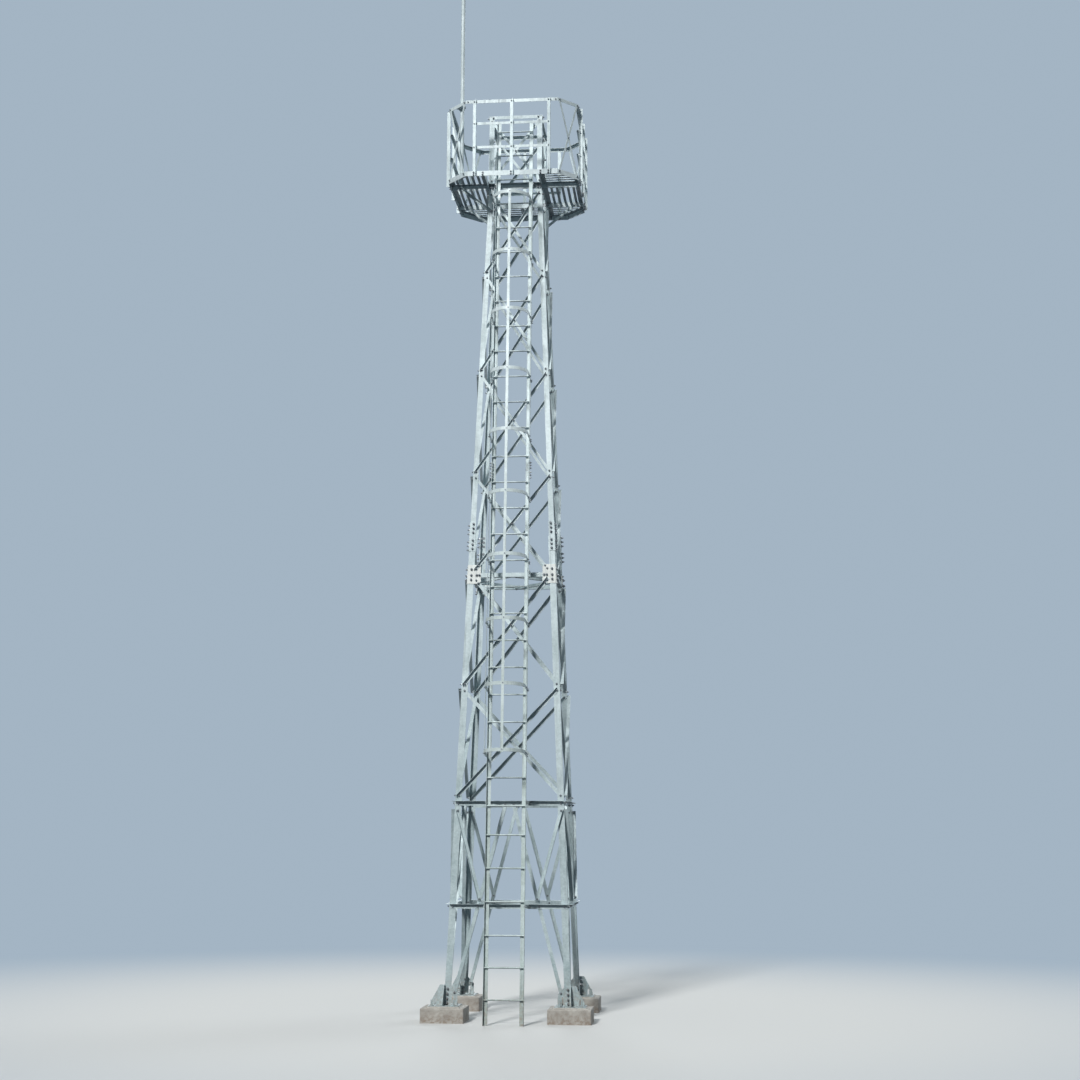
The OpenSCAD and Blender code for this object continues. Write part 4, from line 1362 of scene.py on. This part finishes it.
@dataclass
class Walkway:
    """Bolts, cleats and joint plates of the eight-sided walkway, its rails and its knee braces."""

    lattice: Lattice
    width: float = 1.95
    cut: float = 0.290
    post_a: float = 0.050
    post_t: float = 0.005
    post_x: float = 0.554
    post_rows: Pair = (0.018, 0.054)
    post_gauge: float = 0.008
    rail_h: float = 1.115
    rail_drop: float = 0.002
    rail_gauge: float = 0.006
    mid_t: float = 0.004
    beam_rows: Pair = (0.020, 0.052)
    beam_gauge: float = 0.022
    flat_t: float = 0.004
    flat_end: float = 0.032
    flat_low: float = 0.030
    flat_high: float = 0.025
    joint_t: float = 0.004
    joint_along: Pair = (0.052, 0.001)
    joint_down: Pair = (0.044, 0.008)
    joint_bolt: Pair = (0.028, 0.026)
    cleat_a: float = 0.045
    cleat_t: float = 0.005
    cleat_rows: Pair = (0.006, 0.066)
    slat_w: float = 0.040
    slat_t: float = 0.006
    slat_step: float = 0.084
    slat_clear: float = 0.008
    slat_end: float = 0.030
    slats: int = 7
    first_slat: float = 0.044
    wing_in: float = 0.048
    wing_gap: float = 0.042
    knee_drop: float = 0.350
    knee_rise: float = 0.030
    knee_in: float = 0.050
    knee_out: float = 0.140

    def __post_init__(self) -> None:
        """Work out the edge's distances from the axis."""
        self.half = self.width / 2
        self.corner_off = (self.width - self.cut) / math.sqrt(2.0)
        self.corner_half = self.cut / math.sqrt(2.0)
        self.side_half = self.half - self.cut
        self.rail_top = self.lattice.floor + self.rail_h

    def on_side(self, side: int) -> Matrix:
        """The frame of one of the eight sides, with Y inwards from its edge; odd ones are cut corners."""
        return self.lattice.turned(side / 2) @ shift(y=-(self.corner_off if side % 2 else self.half))

    def posts(self, bolts: BoltSet) -> None:
        """Bolt the posts and the beams' ends to the edge angle, and the rails to the posts.

        Args:
            bolts: the set that takes the bolts.
        """
        body, post_t = self.lattice, self.post_t
        rails = [(self.rail_top - self.post_a / 2 - self.rail_drop, post_t)]
        rails += [(body.floor + k * self.rail_h / 3, self.mid_t) for k in (1, 2)]
        beam_x = body.top_half + body.beam_t + self.beam_gauge
        for side in range(0, 8, 2):
            sheet = self.on_side(side)
            for x in (-self.post_x, 0.0, self.post_x):
                for rise in self.post_rows:
                    bolts.add(sheet, (x - self.post_gauge, -post_t, body.leg_top + rise),
                              post_t + body.beam_t)
                for z, rail_t in rails:
                    bolts.add(sheet, (x - self.rail_gauge, -post_t, z), post_t + rail_t, LIGHT)
            for end in ENDS:
                for rise in self.beam_rows:
                    bolts.add(sheet, (end * beam_x, 0.0, body.leg_top + rise), body.beam_t + post_t)

    def corners(self, bolts: BoltSet, plates: Fitting) -> None:
        """Bolt the crossed flats over the cut corners, and join the rails with small flat plates.

        Args:
            bolts: the set that takes the bolts.
            plates: the piece that takes the joint plates.
        """
        x, thick, post_t, top = self.corner_half - self.flat_end, self.flat_t, self.post_t, self.rail_top
        low, high = self.lattice.floor - self.flat_low, top - self.flat_high
        for side in range(1, 8, 2):
            sheet = self.on_side(side)
            bolts.add(sheet, (0.0, -2 * thick, (low + high) / 2), 2 * thick, LIGHT)
            for spot_x, spot_z, back in ((-x, low, self.lattice.beam_t), (x, high, post_t)):
                bolts.add(sheet, (spot_x, -thick, spot_z), thick + back, LIGHT)
                bolts.add(sheet, (-spot_x, -2 * thick, spot_z), 2 * thick + back, LIGHT)
        far, near = self.joint_along
        deep, shallow = self.joint_down
        bolt_in, bolt_down = self.joint_bolt
        for side in range(8):
            sheet = self.on_side(side)
            half = self.corner_half if side % 2 else self.side_half
            inner = half - post_t * math.tan(math.pi / 8)
            for end in ENDS:
                plates.block(sheet, (end * (inner - far), post_t, top - deep),
                             (end * (inner - near), post_t + self.joint_t, top - shallow))
                bolts.add(sheet, (end * (half - bolt_in), 0.0, top - bolt_down), post_t + self.joint_t,
                          LIGHT)

    def cleats(self, plates: Fitting) -> None:
        """Put an angle cleat in each corner between the beams and the edge angle.

        Args:
            plates: the piece that takes the cleats.
        """
        body, wide, thick = self.lattice, self.cleat_a, self.cleat_t
        x = body.top_half + body.beam_t
        low, high = (body.leg_top + rise for rise in self.cleat_rows)
        for side in range(0, 8, 2):
            for end in ENDS:
                for along, inwards in ((wide, thick), (thick, wide)):
                    plates.block(self.on_side(side), (end * x, body.beam_t, low),
                                 (end * (x + along), body.beam_t + inwards, high))

    def slat_reach(self, y: float) -> float:
        """Half length of a slat that runs between the cut corners at a distance from the axis."""
        return min(self.half, self.width - self.cut - y - self.slat_w / 2) - self.slat_clear

    def slat_bolts(self, bolts: BoltSet) -> None:
        """Bolt the slats down at their ends, with the nuts under the frame.

        Args:
            bolts: the set that takes the bolts.
        """
        body = self.lattice
        under, grip = body.floor - body.beam_t, body.beam_t + self.slat_t
        first = body.top_half + self.first_slat
        wing = first - self.wing_in
        for k in range(self.slats):
            y = first + k * self.slat_step
            last = self.slat_reach(y) - self.slat_end
            spots = [(quarter, end * wing, -y) for quarter in (1, 3) for end in ENDS]
            spots += [(0, end * x, y) for end in ENDS for x in (wing + self.wing_gap, last)]
            for far in (first, last):
                spots += [(0, -y, -far), (0, far, -y)]
            for quarter, x, depth in spots:
                bolts.add(body.turned(quarter), (x, depth, under), grip, SMALL, DOWNWARDS)

    def knees(self, bolts: BoltSet) -> None:
        """Bolt the three knee braces to the legs and to the front and back beams.

        Args:
            bolts: the set that takes the bolts.
        """
        body, thick = self.lattice, self.flat_t
        head_up = body.up_face(body.leg_top + self.knee_rise)
        for side, end in ((0, -1), (2, -1), (2, 1)):
            foot = body.by_leg(end, body.leg_top - self.knee_drop, self.knee_in, thick)
            bolts.add(body.on_face(side), foot, thick + body.upper_leg_t)
            head = (end * (self.half - self.knee_out), -thick, head_up)
            bolts.add(body.on_face(side), head, thick + body.beam_t)

    def build(self, bolt_metal: Material, zinc: Material) -> None:
        """Make everything that is fixed to the walkway."""
        rail_bolts = BoltSet("guard_bolts", Slot.GALVANISED, 71)
        plates = Fitting("rail_joint_plates", Slot.GALVANISED)
        self.posts(rail_bolts)
        self.corners(rail_bolts, plates)
        self.knees(rail_bolts)
        self.cleats(plates)
        rail_bolts.finish(bolt_metal)
        plates.finish(zinc)
        floor_bolts = BoltSet("floor_bolts", Slot.DECK, 73)
        self.slat_bolts(floor_bolts)
        floor_bolts.finish(bolt_metal)


@dataclass
class Mast:
    """The mast's bolted foot, its clamp, its welds and the cone where its tube ends."""

    walkway: Walkway
    inset: float = 0.086
    foot_t: float = 0.008
    foot_bolt: float = 0.047
    tube_r: float = 0.030
    tube_z: float = 15.2
    step_h: float = 0.075
    step_lap: float = 0.004
    rod_r: float = 0.013
    cone_over: float = 0.002
    foot_weld: float = 0.006
    tube_weld: float = 0.004
    rod_weld: float = 0.003
    weld_in: float = 0.001
    clamp_h: float = 0.050
    ear: Pair = (0.033, 0.064)
    ear_half: float = 0.011
    ear_gap: float = 0.004
    ear_cut: float = 0.002
    ear_bolt: float = 0.051
    ear_bolt_in: float = 0.014

    def build(self, bolt_metal: Material, tube: Material) -> None:
        """Bolt down the foot, clamp the collar and finish the step at the head of the tube."""
        walkway = self.walkway
        bolts = BoltSet("mast_bolts", Slot.MAST, 79)
        metal = Fitting("mast_fittings", Slot.MAST)
        sheet = walkway.on_side(7) @ shift(y=self.inset)
        foot = walkway.lattice.floor + walkway.slat_t + self.foot_t
        for x, y in CORNERS:
            bolts.add(sheet, (x * self.foot_bolt, y * self.foot_bolt, foot),
                      self.foot_t + walkway.slat_t, LIGHT, UPWARDS)
        metal.hoop(sheet, foot, self.tube_r, self.foot_weld)
        high = walkway.rail_top - walkway.post_t
        low = high - self.clamp_h
        near, far = self.ear
        for end in ENDS:
            metal.block(sheet, (end * near, -self.ear_half, low + self.ear_gap),
                        (end * far, self.ear_half, high - self.ear_gap), self.ear_cut)
            for z in (low + self.ear_bolt_in, high - self.ear_bolt_in):
                bolts.add(sheet, (end * self.ear_bolt, self.ear_half, z), 2 * self.ear_half, SMALL, INWARDS)
        step_top = self.tube_z + self.step_h
        metal.rod(sheet, (0.0, 0.0, self.tube_z - self.step_lap), (0.0, 0.0, step_top), self.tube_r,
                  self.rod_r + self.cone_over, 32)
        metal.hoop(sheet, self.tube_z, self.tube_r - self.weld_in, self.tube_weld)
        metal.hoop(sheet, step_top, self.rod_r + self.weld_in, self.rod_weld)
        bolts.finish(bolt_metal)
        metal.finish(tube)


@dataclass(frozen=True)
class Lamp:
    """A far lamp: its azimuth is anticlockwise from the front, and its angles are in degrees."""

    name: str
    power: float
    spread: float
    azimuth: float
    height: float
    tint: Colour = (0.92, 0.97, 1.0)

    def hang(self) -> None:
        """Put the lamp in the scene, pointed at the tower."""
        data = bpy.data.lights.new(self.name, "SUN")
        data.energy = self.power
        data.angle = math.radians(self.spread)
        data.color = self.tint
        put(self.name, data).matrix_world = turn(self.azimuth, "Z") @ turn(90.0 - self.height, "X")


@dataclass
class Studio:
    """Floor, backdrop, lamps and the camera at the photograph's angle."""

    lattice: Lattice
    backdrop: Colour = (0.37, 0.46, 0.55)
    floor: Colour = (0.68, 0.69, 0.68)
    floor_bounce: Colour = (0.05, 0.065, 0.08)
    floor_rough: float = 0.9
    floor_radius: float = 60.0
    fade_start: float = 4.0
    fade_end: float = 17.0
    ambient: Colour = (0.62, 0.82, 1.0)
    ambient_power: float = 0.045
    eye: tuple[float, float, float] = (2.671, -25.087, 2.417)
    yaw: float = 5.289
    pitch: float = 9.901
    roll: float = 0.148
    focal_px: float = 1731.0
    frame_px: float = 1080.0
    sensor_mm: float = 36.0
    sight: float = 500.0
    lamps: tuple[Lamp, ...] = (
        Lamp("key_lamp", 2.95, 9.0, -15.0, 35.0, (1.0, 0.99, 0.97)),
        Lamp("top_lamp", 0.5, 60.0, -60.0, 80.0, (0.90, 0.96, 1.0)),
        Lamp("back_lamp", 0.6, 16.0, 190.0, 28.0),
        Lamp("side_lamp", 0.95, 30.0, 132.0, 24.0),
    )

    def camera(self) -> None:
        """Stand the camera where the photograph was taken from."""
        data = bpy.data.cameras.new("photo_camera")
        data.sensor_width = self.sensor_mm
        data.lens = self.focal_px / self.frame_px * self.sensor_mm
        data.clip_end = self.sight
        camera = put("photo_camera", data)
        camera.matrix_world = (Matrix.Translation(self.lattice.axis + Vector(self.eye))
                               @ turn(self.yaw, "Z") @ turn(90.0 + self.pitch, "X")
                               @ turn(self.roll, "Z"))
        bpy.context.scene.camera = camera

    def ground(self) -> None:
        """Lay a pale floor that fades into the backdrop away from the tower."""
        maker = bmesh.new()
        bmesh.ops.create_circle(maker, cap_ends=True, segments=96, radius=self.floor_radius,
                                matrix=Matrix.Translation(self.lattice.axis))
        plate = put("floor", as_mesh(maker, "floor"))
        material, sheet, shader, place = new_material("studio_floor")
        path = sheet.add("LightPath")
        colour = sheet.blend(self.shown(sheet, path), self.floor_bounce, self.floor)
        sheet.feed(shader, {"Base Color": colour, "Roughness": self.floor_rough})
        centred = sheet.add("Mapping", {"Vector": place, "Location": -self.lattice.axis}).outputs["Vector"]
        distance = sheet.add("VectorMath", {0: centred}, operation="LENGTH").outputs["Value"]
        far = sheet.spread(distance, self.fade_start, self.fade_end)
        glow = sheet.add("Emission", {"Color": self.backdrop})
        self.mixed(sheet, sheet.times(far, path.outputs["Is Camera Ray"]), shader, glow, "Material Output")
        plate.data.materials.append(material)

    def sky(self) -> None:
        """Give the backdrop its colour where it is seen, and a plain soft light elsewhere."""
        world = bpy.data.worlds.new("studio")
        bpy.context.scene.world = world
        world.use_nodes = True
        sheet = NodeSheet(world.node_tree)
        soft = sheet.tree.nodes["Background"]
        sheet.feed(soft, {"Color": self.ambient, "Strength": self.ambient_power})
        backdrop = sheet.add("Background", {"Color": self.backdrop})
        self.mixed(sheet, self.shown(sheet, sheet.add("LightPath")), soft, backdrop, "World Output")

    @staticmethod
    def mixed(sheet: NodeSheet, share: Socket, first: Node, second: Node, output: str) -> None:
        """Mix two shaders by a share of the second one and send the result to the named output."""
        mix = sheet.add("MixShader", {0: share, 1: first.outputs[0], 2: second.outputs[0]})
        sheet.feed(sheet.tree.nodes[output], {"Surface": mix.outputs[0]})

    @staticmethod
    def shown(sheet: NodeSheet, path: Node) -> Socket:
        """Give 1 for the rays that show the surroundings: the camera, glossy and transmission ones."""
        mirrored = sheet.sums("MAXIMUM", path.outputs["Is Glossy Ray"], path.outputs["Is Transmission Ray"])
        return sheet.sums("MAXIMUM", path.outputs["Is Camera Ray"], mirrored)

    def build(self) -> None:
        """Set up the whole studio."""
        self.camera()
        self.ground()
        self.sky()
        for lamp in self.lamps:
            lamp.hang()
        bpy.context.scene.view_settings.view_transform = "Standard"


def dress_nodes(finishes: dict[Slot, Material], knee_finish: Material) -> None:
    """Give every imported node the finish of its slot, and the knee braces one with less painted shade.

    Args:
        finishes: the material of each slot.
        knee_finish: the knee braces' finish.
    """
    slots = {part["node"]: Slot(part["material_slot"]) for part in frame["record"]["subparts"]}
    for name, piece in frame["nodes"].items():
        piece.data.materials.clear()
        piece.data.materials.append(knee_finish if name == "knee_braces" else finishes[slots[name]])


def main() -> None:
    """Build the tower's looks, piece by piece."""
    logging.basicConfig(level=logging.INFO, format="%(name)s %(message)s")
    effects = EffectGroups()
    lattice = Lattice()
    log.info("half width %.4f at the base, slope %.5f", lattice.foot_half, lattice.slope)
    galvanised = ZincFinish("galvanised_zinc", painted_shade_share=0.75).build(effects)
    ladder_zinc = ZincFinish("ladder_zinc", dull_and_shaded=(0.38, 0.46, 0.44)).build(effects)
    deck_zinc = ZincFinish("deck_zinc", dull_and_shaded=(0.30, 0.36, 0.40)).build(effects)
    mast_zinc = ZincFinish("mast_zinc").build(effects)
    concrete = ConcreteFinish().build(effects)
    bolt_zinc = ZincFinish("bolt_zinc", bright=(0.30, 0.32, 0.34), dull_and_shaded=(0.17, 0.19, 0.21),
                           stain=(0.10, 0.10, 0.11), metallic=0.7).build(effects)
    Studio(lattice).build()
    # The knee braces get little painted shade on faces that look down, and none by height.
    knee_zinc = ZincFinish("knee_zinc", painted_shade_share=0.15, height_shade_share=0.0).build(effects)
    dress_nodes({Slot.GALVANISED: galvanised, Slot.LADDER: ladder_zinc, Slot.DECK: deck_zinc,
                 Slot.MAST: mast_zinc, Slot.CONCRETE: concrete}, knee_zinc)
    # Lighter zinc for the splice plates: painted sunlight on them, with no painted shade by height.
    lit_plate_zinc = ZincFinish("lit_plate_zinc", bright=(0.84, 0.88, 0.86), dull_and_shaded=(0.70, 0.74, 0.72),
                            height_shade_share=0.0).build(effects)
    SplicePlates(lattice).build(lit_plate_zinc)
    BracingBolts(lattice).build(bolt_zinc)
    LegCovers(lattice).build(bolt_zinc)
    Feet(lattice).build(bolt_zinc, galvanised, concrete)
    Crown(lattice).build(bolt_zinc)
    ladder = Ladder(lattice)
    ladder.build(bolt_zinc, ladder_zinc)
    Cage(ladder).build(bolt_zinc, ladder_zinc)
    walkway = Walkway(lattice)
    walkway.build(bolt_zinc, galvanised)
    Mast(walkway).build(bolt_zinc, mast_zinc)


if __name__ == "__main__":
    main()
